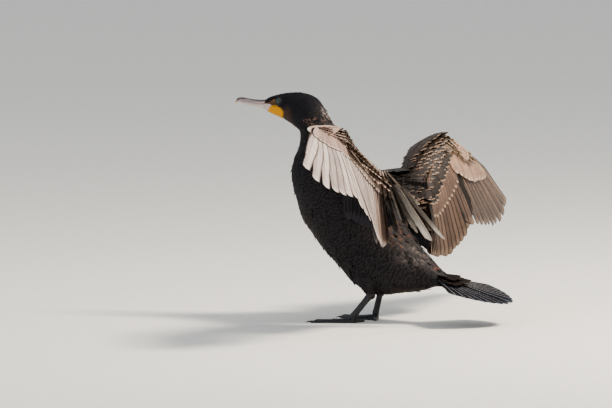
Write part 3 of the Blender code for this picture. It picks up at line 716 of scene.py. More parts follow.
@dataclass(frozen=True)
class VaneBuild:
    """How finely a large feather is made and how it is shaped across.

    Powers crowd the stations towards the tip and the columns towards the shaft. The
    outer side has its share of the width. The outline rounds off from the tip's
    share of the length on, to a blunt end. Barbs slant towards the tip.
    """

    outline: Outline
    stations: int = 14
    across: int = 7
    thickness: float = 0.5
    least: float = 0.06
    taper: float = 0.6
    edge_power: float = 1.6
    camber: float = 0.10
    outer: float = 0.38
    tip: float = 0.90
    blunt: float = 0.985
    notches: int = 0
    notch_depths: Pair = (0.08, 0.2)
    notch_places: Pair = (0.35, 0.93)
    notch_width: float = 0.02
    ragged: float = 0.0
    slant: float = 0.25
    station_power: float = 1.25
    column_power: float = 0.85

    def sides(self, t: Places, rng: Generator) -> tuple[Places, Places]:
        """Widths of both sides of the shaft, with notches and uneven edges.

        Args:
            t: shares of the length.
            rng: seeded random draws.

        Returns:
            Shares of the side's full width, left and right.
        """
        near_tip = np.clip((t - self.tip) / (1 - self.tip), 0, self.blunt)
        wide = read(self.outline.value, t) * np.sqrt(1 - near_tip ** 2)
        left, right = wide.copy(), wide.copy()
        for _ in range(self.notches):
            edge = left if rng.random() < 0.5 else right
            depth = rng.uniform(*self.notch_depths)
            edge *= 1 - depth * np.exp(-((t - rng.uniform(*self.notch_places)) / self.notch_width) ** 2)
        for edge in (left, right):
            edge *= 1 + self.ragged * rng.normal(0, 1, len(t))
        return left, right

    def rings(self, lay: Lay, rng: Generator) -> tuple[Places, Places, Places]:
        """Rings of a feather that follows the surface of its row.

        Args:
            lay: how the feather lies.
            rng: seeded random draws.

        Returns:
            Points (stations, around, 3), the vane map (points, 2) and the shaft line.
        """
        t = 1 - (1 - np.linspace(0, 1, self.stations)) ** self.station_power
        left, right = self.sides(t, rng)
        way, turn = lay.way, math.radians(lay.turn)
        out = square_to(lay.outs[0][None] * (1 - t[:, None]) + lay.outs[1][None] * t[:, None], way[None])
        up = np.cross(way[None], out) * lay.hand
        above = up * math.cos(turn) - out * math.sin(turn)
        side = np.cross(way[None], above)
        run = lay.length * t
        centre = lay.root + way * run[:, None] + up[0] * (lay.rise * t - lay.sag * run ** 2)[:, None]
        plus = 1 - self.outer if lay.hand > 0 else self.outer
        c = np.linspace(-1, 1, self.across)
        c = np.sign(c) * np.abs(c) ** self.column_power
        half = np.where(c[None] > 0, right[:, None] * plus, left[:, None] * (1 - plus)) * lay.width
        x = c[None] * half
        thin = 1 - self.taper * t
        thick = self.thickness * thin[:, None] * (1 - np.abs(c[None]) ** self.edge_power) / 2
        droop = self.camber * x ** 2 / lay.width
        upper = np.stack([x, thick + self.least - droop], -1)
        lower = np.stack([x, -thick - self.least - droop], -1)[:, 1:-1][:, ::-1]
        rings = np.concatenate([upper, lower], 1)
        points = centre[:, None] + side[:, None] * rings[..., :1] + above[:, None] * rings[..., 1:]
        points = points + way * (self.slant * np.abs(rings[..., :1]) * (1 - t[:, None, None] ** 4))
        line = centre + above * (self.thickness / 2 * thin)[:, None]
        ring_c = np.concatenate([c, c[1:-1][::-1]])
        vane = np.stack(np.broadcast_arrays(0.5 + 0.5 * ring_c[None], t[:, None]), -1).reshape(-1, 2)
        return points, vane, line


class Feathering:
    """Large feathers of one finish, with their shafts in a pile of their own."""

    margin: float = 0.05
    shaft_sides: int = 6
    shaft_taper: float = 0.86

    def __init__(self, columns: int, rows: int, rng: Generator) -> None:
        """Start empty.

        Args:
            columns: cells across the sheet for the bake's map.
            rows: cells along it.
            rng: seeded random draws.
        """
        self.rng = rng
        self.vanes = Pile()
        self.shafts = Pile()
        self.columns = columns
        self.rows = rows
        self.cell = 0

    def add(self, build: VaneBuild, lay: Lay, shade: float | None = None, shaft: float = 0.0) -> None:
        """Add one feather.

        Args:
            build: its fineness and cross shape.
            lay: how it lies.
            shade: tone of 0 to 1, or None to draw one.
            shaft: radius of the shaft at the root, or 0 for none.
        """
        points, vane, line = build.rings(lay, self.rng)
        tone = np.array([self.rng.random() if shade is None else shade])
        place = (self.cell % self.columns, self.cell // self.columns)
        self.cell += 1

        def baked(flat: Places) -> Places:
            """Own map of a shape in its cell of the sheet."""
            inner = flat * (1 - 2 * self.margin) + self.margin
            return ((inner + place) / (self.columns, self.rows))[None]

        around = points.shape[1]
        self.vanes.add(points.reshape(1, -1, 3), Web.tube(len(points), around), vane, baked(vane), tone)
        if not shaft:
            return
        way = unit(np.gradient(line, axis=0))
        side = square_to(points[:, -1 - around // 4] - points[:, 1], way)
        up = np.cross(side, way)
        count = self.shaft_sides
        turns = circle(count)[None, :, None]
        radius = shaft * (1 - self.shaft_taper * np.linspace(0, 1, len(line)))[:, None, None]
        tube = line[:, None] + (side[:, None] * np.cos(turns) - up[:, None] * np.sin(turns)) * radius
        # The shaft is so thin that a narrow strip of the cell holds it.
        flat = np.stack(np.broadcast_arrays(
            (0.46 + 0.01 * np.arange(count))[None], np.linspace(0, 1, len(line))[:, None]), -1)
        flat = flat.reshape(-1, 2)
        self.shafts.add(tube.reshape(1, -1, 3), Web.tube(len(line), count), flat, baked(flat), tone)


class Tube:
    """Surface round a line of oval stations: centre + a cos(turn) + b sin(turn).

    A place is given by s, in stations along, and by a turn round, in radians. The
    steps along and round give its directions. The grid of cells and the number of
    draws serve to scatter places.
    """

    steps: Pair = (0.04, 0.02)
    grid: tuple[int, int] = (160, 72)
    draws: int = 5

    def __init__(self, stations: list[tuple[Places, Places, Places]]) -> None:
        """Keep the stations.

        Args:
            stations: centre and both half axes of each.
        """
        self.values = np.array([np.concatenate(station) for station in stations], float)
        self.end = len(stations) - 1

    def outward(self, s: Places, turn: Places) -> tuple[Places, Places]:
        """Centres of the ovals, and the steps from there to the surface."""
        row = curve(self.values, s)
        return row[:, 0:3], row[:, 3:6] * np.cos(turn)[:, None] + row[:, 6:9] * np.sin(turn)[:, None]

    def places(self, s: Places, turn: Places, grow: float | Places = 0.0) -> Places:
        """Points of the surface, grown outwards by some millimetres."""
        centre, out = self.outward(s, turn)
        made = centre + out
        if np.any(grow):
            made = made + self.frames(s, turn)[1] * np.reshape(grow, (-1, 1))
        return made

    def frames(self, s: Places, turn: Places) -> tuple[Places, Places, Places, Places]:
        """Points, outward normals and the unit directions along and round the tube."""
        along, round_ = self.steps
        place = self.places(s, turn)
        low, high = np.clip(s - along, 0, self.end), np.clip(s + along, 0, self.end)
        run = self.places(high, turn) - self.places(low, turn)
        swing = self.places(s, turn + round_) - self.places(s, turn - round_)
        normal = unit(np.cross(swing, run))
        centre = curve(self.values, s)[:, 0:3]
        normal = normal * np.sign(np.sum(normal * (place - centre), axis=1, keepdims=True))
        return place, normal, unit(run), unit(swing)

    def rings(self, s: Places, around: int, grow: Places) -> list[Places]:
        """Rings of points for a loft, one a place, each grown by its number or row."""
        turns = circle(around)
        return [
            self.places(np.full(around, place), turns, np.broadcast_to(depth, around))
            for place, depth in zip(s, grow)
        ]

    def scatter(self, spacing: Callable[[Places], Places], start: float, end: float,
                rng: Generator) -> tuple[Places, Places]:
        """Random places that keep a distance from each other.

        Args:
            spacing: least distance as a function of the place along.
            start: first place along.
            end: last place along.
            rng: seeded random draws.

        Returns:
            Places along and turns round the tube.
        """
        rows, columns = self.grid
        s = start + (end - start) * (np.arange(rows) + 0.5) / rows
        turn = 2 * np.pi * (np.arange(columns) + 0.5) / columns
        grid_s, grid_t = [part.ravel() for part in np.meshgrid(s, turn, indexing="ij")]
        ds, dt = (end - start) / rows / 2, np.pi / columns
        side_a = self.places(grid_s + ds, grid_t) - self.places(grid_s - ds, grid_t)
        side_b = self.places(grid_s, grid_t + dt) - self.places(grid_s, grid_t - dt)
        weight = np.linalg.norm(np.cross(side_a, side_b), axis=1) / spacing(grid_s) ** 2
        cells = rng.choice(len(weight), int(weight.sum() * self.draws), p=weight / weight.sum())
        s = grid_s[cells] + rng.uniform(-ds, ds, len(cells))
        turn = grid_t[cells] + rng.uniform(-dt, dt, len(cells))
        places = self.places(s, turn)
        tree = KDTree(len(places))
        for index, place in enumerate(places):
            tree.insert(place, index)
        tree.balance()
        free = np.ones(len(places), bool)
        apart = spacing(s)
        kept = []
        for index, place in enumerate(places):
            if not free[index]:
                continue
            kept.append(index)
            for _, other, _ in tree.find_range(place, apart[index]):
                free[other] = False
        return s[kept], turn[kept]


@dataclass(frozen=True)
class Fold:
    """Ridge or groove along a line on both sides of the head, (x, z) ends.

    It leaves the middle clear and grows to its full height over the fade.
    """

    start: Pair
    end: Pair
    radius: float
    height: float
    clear: float = 3.0
    fade: float = 4.0

    def rise(self, places: Places) -> Places:
        """How far it lifts the skin at each place."""
        a = np.array(self.start)
        line = np.array(self.end) - a
        flat = places[:, [0, 2]] - a
        share = np.clip(flat @ line / max(line @ line, 1e-9), 0, 1)
        far = np.linalg.norm(flat - share[:, None] * line, axis=1)
        side = np.clip((np.abs(places[:, 1]) - self.clear) / self.fade, 0, 1)
        return self.height * np.exp(-(far / self.radius) ** 2) * side


class TrunkSurface(Tube):
    """Head, neck, body and tail base, with the folds of the face."""

    face_end: int = 4

    def __init__(self, folds: tuple[Fold, ...]) -> None:
        """Turn the named stations into a tube.

        Args:
            folds: ridges and grooves of the face.
        """
        stations = []
        for back, front, width in TRUNK_STATIONS:
            back, front = np.array((back[0], 0, back[1])), np.array((front[0], 0, front[1]))
            stations.append(((back + front) / 2, (back - front) / 2, np.array((0, width / 2, 0))))
        super().__init__(stations)
        self.folds = folds

    def places(self, s: Places, turn: Places, grow: float | Places = 0.0) -> Places:
        """Points as of any tube, with the folds raised and pressed in."""
        made = super().places(s, turn, grow)
        face = np.nonzero(s < self.face_end)[0]
        if len(face):
            out = unit(self.outward(s[face], turn[face])[1])
            lift = sum(fold.rise(made[face]) for fold in self.folds)
            made[face] = made[face] + out * lift[:, None]
        return made


@dataclass(frozen=True)
class BareFace:
    """Where the face has no feathers: throat skin, lores and eye ring.

    The throat's rear edge is x by height, and the lores' upper edge is height by x.
    Both reach a little past the mouth line. The eye ring lies on the head's flanks.
    The skin's rim is the distance over which feathers take its place.
    """

    throat_back: Table = ((340, -160), (355, -157.5), (367, -151.5), (377.5, -158))
    throat_over: float = 0.5
    lore_top: Table = ((-194, 378.5), (-186, 380.5), (-180, 384.0), (-172, 387.0), (-166, 388.0))
    lore_under: float = 1.0
    lore_back: float = -166.0
    ring_radius: float = 6.3
    flank: float = 8.0
    rim: float = 1.4

    def share(self, places: Places) -> Places:
        """How bare the skin is at each place, 0 under feathers to 1."""
        x, z = places[:, 0], places[:, 2]
        throat = np.minimum(read(self.throat_back, z) - x, MOUTH_LINE_Z + self.throat_over - z)
        lore = np.minimum(read(self.lore_top, x) - z, z - MOUTH_LINE_Z + self.lore_under)
        lore = np.minimum(lore, self.lore_back - x)
        eye = self.ring_radius - np.hypot(x - EYE_PLACE[0], z - EYE_PLACE[2])
        eye = np.where(np.abs(places[:, 1]) > self.flank, eye, -self.rim)
        inside = np.maximum(np.maximum(throat, lore), eye)
        return np.clip(inside / self.rim + 0.5, 0, 1)


BODY_ZONES = (
    Zone((-144, 0, 360), (9, 40, 15), "#6e5044", 0.7, 0.6),
    # Pale specks on the nape: pale feathers, brightened by a painted sunlit highlight.
    Zone((-76, 0, 372), (8, 13, 20), "#c9bab0", 0.9, 0.4, True),
    Zone((-96, -24, 351), (15, 10, 8), "#a07d6c", 0.9, 0.4, True),
    Zone((-77, -12, 347), (17, 17, 9), "#8d6350", 0.8, 0.4, True),
    Zone((74, -30, 160), (24, 44, 26), "#7a4f30", 0.6, 0.5, True),
    # Pale pinkish specks on the rump: painted glints.
    Zone((100, -28, 118), (26, 50, 18), "#8d7d78", 0.6, 0.5, True),
    Zone((138, -8, 104), (12, 34, 9), "#7d5545", 0.8, 0.5, True),
    Zone((85, 0, 50), (62, 50, 15), "#4a2c12", 0.75),
    # Brown on the front of the belly: painted warm light on its lit edge.
    Zone((-95, 0, 150), (26, 70, 75), "#3a2c24", 0.6),
    # Bluish on the front of the chest: painted bluish sheen where it is lit.
    Zone((-135, 0, 250), (40, 80, 60), "#23232d", 0.7),
)
# Overlapping dull black blades with a faint rim, which read as fine scales.
BODY_FEATHER = FeatherFinish(
    "Contour feathers, black keratin vane, grown", dark="#0e0b0a", light="#2a2220", fringe="#38343a",
    shaft="#151211", fringe_from=0.78, fringe_strength=0.75, band_strength=0.6, shaft_width=0.05,
    barbs=9.0, roughness=0.58, gloss=0.03, specular=0.2, zones=BODY_ZONES,
)
# Blades so short and close that the head looks like dark velvet.
HEAD_FEATHER = FeatherFinish(
    "Head feathers, short black keratin, grown", dark="#0d0b11", light="#1e1b26", fringe="#282630",
    shaft="#121017", band="#08070a", fringe_from=0.80, band_strength=0.3, shaft_width=0.1, barbs=5.0,
    gloss=0.05, specular=0.2, zones=BODY_ZONES,
)
# Dark down where feathers part, and on the face waxy bare skin with fine pores.
SKIN_UNDER = SkinFinish(
    "Skin under the coat, dark and downy", dark="#0d0b0c", light="#1d191a", cell=1.6, relief=0.1,
    roughness=0.7, groove=0.14, zones=BODY_ZONES + (
        Zone((-172, 0, 361), (24, 40, 17), "#d2920f", 1.0, 0.12),
        Zone((-168, 0, 350), (30, 5, 14), "#b9822a", 0.6, 0.4),
        Zone((-178, 0, 383), (14, 40, 5.5), "#5e3f22", 0.95, 0.3),
        Zone((-171, 0, 386.5), (4.5, 40, 3.4), "#96602c", 0.6, 0.4),
        Zone((-163, 0, 385), (6.5, 40, 6.5), "#3d3430", 0.9, 0.3),
        Zone((-188.5, 0, 372.7), (10.5, 40, 5.8), "#c8b9b3", 0.95, 0.12),
        Zone((-184, 0, 376.6), (9.5, 40, 2.4), "#c8b9b3", 0.95, 0.12),
    ),
)


@dataclass
class Trunk:
    """Head, neck and body: one skin with a coat of small feathers.

    The tables hold a value by station: the coat's depth, the distance between
    feathers, their length and width as multiples of it, and the lift of the tips.
    """

    around: int = 96
    runs: tuple[tuple[int, int, int], ...] = ((0, 4, 76), (4, 10, 40), (10, 24, 70))
    folds: tuple[Fold, ...] = (
        Fold((-163, 384.7), (-163, 384.7), 5.0, -1.3),
        Fold((-176, 389.5), (-152, 391.5), 2.6, 0.9),
        Fold((-190, 381.5), (-174, 382.0), 2.4, -0.8),
        Fold((-196, 377.4), (-165, 376.6), 0.8, -0.9),
        Fold((-188, 371), (-168, 367), 5.0, 0.7),
    )
    bare: BareFace = BareFace()
    depths: Table = ((0, 0.6), (3, 0.9), (6, 1.3), (10, 2.0), (13, 3.2), (21, 3.2), (24, 2.0))
    spacings: Table = ((0, 1.3), (2, 1.4), (6, 2.0), (10, 2.9), (13, 3.9), (18, 4.5), (22, 4.4), (24, 3.6))
    lengths: Table = ((0, 3.6), (5, 4.0), (10, 3.6), (24, 3.3))
    widths: Table = ((0, 1.7), (5, 1.7), (10, 2.0), (24, 2.2))
    lifts: Table = ((0, 0.55), (4, 0.8), (8, 1.6), (12, 2.0), (20, 2.4), (24, 1.8))
    coat: Pair = (0.05, 24.0)
    # The skin lies this much under the feathers' feet, and the bare face as well.
    inset: float = 0.1
    # A feather roots where the face is less bare than this.
    bare_from: float = 0.35
    head_end: float = 6.0
    neck_end: float = 10.5
    # One feather in 25 stands up by this much more.
    standing: Pair = (0.96, 1.1)
    seed: int = 11
    surface: TrunkSurface = field(init=False)

    def __post_init__(self) -> None:
        """Make the surface that skin and coat share."""
        self.surface = TrunkSurface(self.folds)

    def build_skin(self, finish: Material) -> None:
        """One skin that stands for the nodes of flesh."""
        rings = []
        for place in np.unique(np.concatenate([np.linspace(*run) for run in self.runs])):
            row, turns = np.full(self.around, place), circle(self.around)
            outer = self.surface.places(row, turns)
            depth = read(self.depths, row) * (1 - self.bare.share(outer)) + self.inset
            rings.append(self.surface.places(row, turns, -depth))
        publish("body_skin", lofted(rings), finish,
                ("head", "neck", "torso", "gular_pouch"), sharp=70)

    def plumes(self) -> tuple[Plumes, Places, Places]:
        """The coat's feathers, with their places along and turns round the trunk."""
        rng = np.random.default_rng(self.seed)
        s, turn = self.surface.scatter(lambda at: read(self.spacings, at), *self.coat, rng)
        place, normal, way, _ = self.surface.frames(s, turn)
        keep = self.bare.share(place) < self.bare_from
        s, turn, place, normal, way = [part[keep] for part in (s, turn, place, normal, way)]
        apart = read(self.spacings, s)
        scruff = rng.random(len(s))
        length = apart * read(self.lengths, s) * rng.uniform(*SIZE_RANGE, len(s))
        rank, extra = self.standing
        lift = read(self.lifts, s) * (0.75 + 0.5 * scruff + extra * (scruff > rank))
        made = Plumes(
            place - normal * (read(self.depths, s) * 0.9)[:, None], normal, way, length,
            apart * read(self.widths, s), lift, rng.random(len(s)), unwrapped(s, 24, turn))
        return made, s, turn

    def build_coat(self, finish: Material, head_finish: Material) -> None:
        """Small feathers over the whole trunk but the bare face.

        Args:
            finish: the body feathers' material.
            head_finish: the head feathers' material.
        """
        plumes, s, turn = self.plumes()
        body, upper = s >= self.neck_end, np.cos(turn) > 0
        rng = np.random.default_rng(self.seed + 1)
        for name, keep, dress in (
            ("head_feathers", s < self.head_end, head_finish),
            ("neck_feathers", (s >= self.head_end) & ~body, finish),
            ("back_feathers", body & upper, finish),
            ("breast_feathers", body & ~upper, finish),
        ):
            pile = Pile()
            plumes.part(keep).fill(pile, rng)
            publish(name, pile, dress)


# Stations of the arm's tube, from shoulder to tip.
ARM_STATIONS = 24


@dataclass(frozen=True)
class SmallCoverts:
    """Scale feathers in staggered rows over the arm, above and below.

    Steps and lengths are given at the front and the rear edge. The rows run from
    angle to angle round the arm, and the ends are kept clear. Thin is the share of
    full size by station. A feather turns to the rear edge by the back share.
    """

    steps: Pair
    lengths: Pair
    rows: int = 9
    angles: Pair = (4, 152)
    clear: Pair = (22, 16)
    jitter: float = 0.4
    thin: Table = ((0, 1.0), (13, 1.0), (16, 0.7), (24, 0.55))
    back_share: float = 0.25
    sink: float = 0.6
    width: float = 1.8
    lift: float = 1.6
    lift_gain: float = 1.2
    samples: int = 400

    def plumes(self, wing: "Wing", tube: Tube, rng: Generator) -> list[Plumes]:
        """The feathers, row by row.

        Args:
            wing: frame of the wing.
            tube: the arm's skin.
            rng: seeded random draws.

        Returns:
            The rows.
        """
        fine = np.linspace(0, ARM_STATIONS, self.samples)
        middle = tube.places(fine, np.full(self.samples, np.pi / 2))
        reach = np.concatenate([[0], np.cumsum(np.linalg.norm(np.diff(middle, axis=0), axis=1))])
        made = []
        for below in (False, True):
            for row, angle in enumerate(np.radians(np.linspace(*self.angles, self.rows))):
                back = (1 - math.cos(angle)) / 2
                step = mixed(self.steps, back)
                start = self.clear[0] + (row % 2) * step / 2
                run = np.arange(start, reach[-1] - self.clear[1], step)
                s = np.interp(run + rng.uniform(-self.jitter, self.jitter, len(run)), reach, fine)
                turn = np.full(len(s), -angle if below else angle)
                place, normal, _, swing = tube.frames(s, turn)
                lying = np.array([wing.way(at * 3 / ARM_STATIONS) for at in s])
                lying = lying - normal * np.sum(lying * normal, axis=1, keepdims=True)
                ways = unit(lying + (-swing if below else swing) * self.back_share)
                size = rng.uniform(*SIZE_RANGE, len(s))
                thin = read(self.thin, s)
                made.append(Plumes(
                    place - normal * self.sink, normal, ways, mixed(self.lengths, back) * size * thin,
                    np.full(len(s), step * self.width) * np.sqrt(thin),
                    (self.lift + self.lift_gain * back) * size ** 3 * thin,
                    rng.random(len(s)), unwrapped(s, ARM_STATIONS, turn)))
        return made


@dataclass(frozen=True)
class WingPlan:
    """Bones of one wing, where its feathers point and how long they are.

    Bones are shoulder, elbow, wrist and tip. Directions are those of the feathers
    at the first three, and the hand's ways are spread evenly from wrist to tip.
    Lengths run from the body outwards. The front start is a step from the shoulder
    to the front edge of the skin, which arches forward between elbow and wrist.
    """

    side: Side
    bones: tuple[Point, ...]
    directions: tuple[Point, ...]
    hand_ways: tuple[Point, ...]
    front_arch: float
    front_start: Point
    secondaries: tuple[float, ...]
    secondary_widths: Pair
    humerals: tuple[float, ...]
    tertials: tuple[float, ...]
    hand_coverts: tuple[float, ...]
    greater_coverts: tuple[float, ...]
    median_coverts: tuple[float, ...]
    small_coverts: SmallCoverts
    alula_swing: Point = (0.0, 0.0, 0.0)


PLANS = {
    Side.LEFT: WingPlan(
        side=Side.LEFT,
        bones=((-62, -50, 272), (72, -90, 266), (44, -235, 349), (38, -346, 365)),
        directions=((0.68, 0.14, -0.72), (0.12, -0.05, -0.99), (0.42, -0.10, -0.90)),
        hand_ways=((0.44, -0.15, -0.88), (0.53, -0.65, -0.55), (0.44, -0.79, -0.43),
                   (0.30, -0.93, -0.22)),
        front_arch=2.0, front_start=(-20, 0, 4),
        secondaries=(136, 146, 154, 158), secondary_widths=(25, 26),
        humerals=(84, 92), tertials=(152, 160, 146), hand_coverts=(48, 56, 52),
        greater_coverts=(44, 50, 46), median_coverts=(34, 38),
        small_coverts=SmallCoverts(steps=(7.5, 9.0), lengths=(17, 27)),
        alula_swing=(-0.45, 0.0, -0.05),
    ),
    Side.RIGHT: WingPlan(
        side=Side.RIGHT,
        bones=((-58, 48, 258), (75, 90, 240), (44, 235, 308), (64, 345, 262)),
        directions=((0.20, 0.00, -0.98), (0.06, 0.00, -1.00), (0.39, 0.07, -0.92)),
        hand_ways=((0.39, 0.12, -0.91), (0.24, 0.51, -0.83), (0.08, 0.75, -0.66),
                   (0.00, 0.87, -0.49)),
        front_arch=13.0, front_start=(-20, 0, -7),
        secondaries=(142, 168, 172, 162), secondary_widths=(27, 28),
        humerals=(112, 118), tertials=(112, 130, 142), hand_coverts=(72, 84, 84),
        greater_coverts=(78, 96, 88), median_coverts=(50, 56),
        small_coverts=SmallCoverts(steps=(11.5, 13.0), lengths=(26, 38)),
    ),
}
# Shares of shoulder, wrist and elbow in the front edge of the skin at the elbow.
FRONT_SKIN_SHARES = (0.30, 0.28, 0.42)
# How far the front edge lies ahead of the wrist and of the hand's tip.
FRONT_WRIST, FRONT_TIP = 9, 4
# Thickness of the arm and its reach behind the bones, at each of them.
ARM_THICKNESS = (26.0, 15.0, 13.0, 10.0)
ARM_REAR = (20.0, 15.0, 11.0, 5.0)
PRIMARY_LENGTHS = (162, 166, 170, 176, 184, 194, 206, 218, 222, 212)


def along(values: Places, place: float) -> Places:
    """Value at a place along a list, where 0 is the first entry."""
    place = min(max(place, 0.0), len(values) - 1)
    k = min(int(place), len(values) - 2)
    return values[k] * (1 - (place - k)) + values[k + 1] * (place - k)


def mixed(ends: Pair, share: float) -> float:
    """Value at a share of the way between two."""
    return ends[0] * (1 - share) + ends[1] * share


class Wing:
    """Frame of one wing: where feathers root and how they point.

    Places along it count from the shoulder, one a bone: 1 is the elbow, 2 the
    wrist and 3 the tip of the hand.
    """

    def __init__(self, plan: WingPlan) -> None:
        """Work out the frame.

        Args:
            plan: the wing's plan.
        """
        self.plan = plan
        self.sign = plan.side.value
        self.bones = np.array(plan.bones, float)
        self.directions = unit(np.array(plan.directions, float))
        self.hand_ways = unit(np.array(plan.hand_ways, float))
        shoulder, elbow, wrist, tip = self.bones
        last = self.hand_ways[-1]
        turn = elbow + unit(elbow - shoulder) + unit(wrist - elbow)
        self.normals = np.array([
            self.square(shoulder, elbow, self.directions[0]),
            self.square(elbow, turn, self.directions[1]),
            self.square(elbow, tip, self.directions[2]),
            self.square(wrist, tip, last),
        ])
        a, b, c = FRONT_SKIN_SHARES
        self.front = np.array([
            shoulder + np.array(plan.front_start), shoulder * a + wrist * b + elbow * c,
            wrist - self.directions[2] * FRONT_WRIST,
            tip - last * FRONT_TIP / 2 - self.directions[2] * FRONT_TIP,
        ])
        ways = np.vstack([self.directions, last])
        self.rear = self.bones + ways * np.array(ARM_REAR)[:, None]

    def square(self, start: Places, end: Places, way: Places) -> Places:
        """Unit vector off the upper side, from a stretch of bone and a feather."""
        return unit(np.cross(end - start, way) * -self.sign)

    def way(self, place: float) -> Places:
        """Direction in which feathers point there, a unit vector."""
        if place > 2:
            return unit(along(self.hand_ways, (place - 2) * 3))
        return unit(along(self.directions, place))

    def section(self, place: float, shrink: float = 0.0) -> tuple[Places, Places, Places]:
        """Centre, half chord and half thickness of the arm's oval, shrunk by some millimetres."""
        arch = self.plan.front_arch * math.sin(math.pi * min(max(place - 1, 0), 1))
        lead = along(self.front, place) - self.way(2) * arch
        trail = along(self.rear, place)
        up = square_to(along(self.normals, place), self.way(place))
        half = (lead - trail) / 2
        half = half * (1 - shrink / np.linalg.norm(half))
        return (lead + trail) / 2, half, up * (along(np.array(ARM_THICKNESS), place) / 2 - shrink)


@dataclass(frozen=True)
class VaneRow:
    """One row of like vanes along a wing, rooted on its bones or on its skin.

    Roots and ways are its first and last place along the wing. The lift is the
    height over the bones, and the end the height of the tips' line where it
    differs. The stack raises each vane over the next. A chord, from -1 at the rear
    edge to 1 at the front, roots the row on the skin, above it or under it. There
    a vane points its own way for the own share, and along the skin for the rest.
    """

    roots: Pair
    ways: Pair
    count: int
    lengths: tuple[float, ...]
    widths: Pair
    build: VaneBuild
    lift: float = 0.0
    end: float | None = None
    stack: float = 0.0
    chord: float | None = None
    under: bool = False
    turn: float = 3.5
    sag: float = 0.00012
    shaft_radius: float = 0.0
    own_share: float = 0.6
    spread: float = 0.02

    def shaft(self, wing: Wing, share: float) -> tuple[Places, Places, float]:
        """Shaft of the vane at a share of the row.

        Args:
            wing: frame of the wing.
            share: 0 at the first vane to 1 at the last.

        Returns:
            Root, direction and length.
        """
        place = self.roots[0] + (self.roots[1] - self.roots[0]) * share
        way = wing.way(self.ways[0] + (self.ways[1] - self.ways[0]) * share)
        length = float(along(np.array(self.lengths, float), share * (len(self.lengths) - 1)))
        if self.chord is None:
            return along(wing.bones, place), way, length
        centre, half, thick = wing.section(place, 1.0)
        thick = -thick if self.under else thick
        rise = math.sqrt(1 - self.chord ** 2)
        own = way * np.linalg.norm(half) * self.own_share
        way = unit(own - half * (1 - self.own_share) + thick * self.chord / rise)
        return centre + half * self.chord + thick * rise, way, length

    def fill(self, wing: Wing, feathering: Feathering) -> None:
        """Add the row's feathers.

        Args:
            wing: frame of the wing.
            feathering: the feathers that they join.
        """
        last = self.count - 1
        hand = -wing.sign if self.under else wing.sign
        for k in range(self.count):
            base, way, length = self.shaft(wing, k / last)
            inner, inner_way, inner_length = self.shaft(wing, (k - 0.5) / last)
            outer, outer_way, outer_length = self.shaft(wing, (k + 0.5) / last)
            near = outer - inner
            far = near + outer_way * outer_length - inner_way * inner_length
            up = square_to(np.cross(way, near) * hand, way)
            height = self.lift + self.stack * (self.count / 2 - k) * hand
            feathering.add(self.build, Lay(
                base + up * height, way, (near, far), hand,
                length * (1 + feathering.rng.uniform(-self.spread, self.spread)),
                self.widths[0] + (self.widths[1] - self.widths[0]) * k / last, self.turn * hand, self.sag,
                0.0 if self.end is None else self.end - self.lift,
            ), shaft=self.shaft_radius)


FLIGHT = VaneBuild(Outline.FLIGHT, 26, 9, notches=2, ragged=0.012)
FINGER = VaneBuild(Outline.FINGER, 28, 9, notches=2, ragged=0.012, tip=0.972)
TAIL_VANE = VaneBuild(Outline.TAIL, 24, 9, notches=1, ragged=0.01, outer=0.45)
ALULA = VaneBuild(Outline.FLIGHT, 16, 7, camber=0.3, tip=0.7, notches=2, ragged=0.02)
TERTIAL = VaneBuild(Outline.FLIGHT, 22, 7, camber=0.3, tip=0.82, notches=3, ragged=0.03)
COVERT = VaneBuild(Outline.COVERT, 12, 7, thickness=0.45, camber=0.25, tip=0.72, ragged=0.02)


@dataclass(frozen=True)
class LooseVane:
    """One vane that stands by itself, a tertial or a dark vane of painted shadow: place on the arm, way,
    size, tone and lift.
    """

    place: float
    way: Point
    length: float
    width: float
    shade: float
    lift: float
    drop: float = 0.0
    turn: float = 4.0
    sag: float = 0.0002
    shaft_radius: float = 0.6

    def fill(self, wing: Wing, feathering: Feathering) -> None:
        """Add it.

        Args:
            wing: frame of the wing.
            feathering: the feathers that it joins.
        """
        way = unit(np.array(self.way))
        out = unit(wing.bones[2] - wing.bones[0])
        up = square_to(np.cross(way, out) * wing.sign, way)
        root = along(wing.bones, self.place) + up * self.lift - np.array((0.0, 0.0, self.drop))
        lay = Lay(root, way, (out, out), wing.sign, self.length, self.width, self.turn, self.sag)
        feathering.add(TERTIAL, lay, self.shade, self.shaft_radius)


@dataclass(frozen=True)
class Alula:
    """Three short stiff feathers along the front of the hand.

    Each pair is the first feather's value and the step to the next. The drop
    lowers them on the right wing and raises them on the left.
    """

    shades: tuple[float, ...] = (1.1, 0.3, 0.8)
    place: Pair = (2.16, 0.07)
    height: Pair = (11.0, 0.9)
    drop: float = 3.0
    ahead: Pair = (4.5, -2.5)
    spread: Pair = (0.05, 0.05)
    length: Pair = (78.0, -11.0)
    width: float = 17.0
    turn: float = 3.5
    rise: float = -2.0
    shaft_radius: float = 0.5

    def fill(self, wing: Wing, feathering: Feathering) -> None:
        """Add them.

        Args:
            wing: frame of the wing.
            feathering: the feathers that they join.
        """
        hand = unit(wing.bones[3] - wing.bones[2])
        for k, shade in enumerate(self.shades):
            place, height, ahead, spread, length = [
                first + step * k
                for first, step in (self.place, self.height, self.ahead, self.spread, self.length)
            ]
            up = square_to(along(wing.normals, place), hand)
            out = square_to(-wing.way(2), hand)
            flip = 1 if np.cross(hand, out) @ up > 0 else -1
            root = along(wing.bones, place) + up * (height - self.drop * wing.sign) + out * ahead
            way = unit(hand - out * spread + np.array(wing.plan.alula_swing))
            side = square_to(out, way)
            lay = Lay(root, way, (side, side), flip, length, self.width, self.turn, rise=self.rise)
            feathering.add(ALULA, lay, shade, self.shaft_radius)


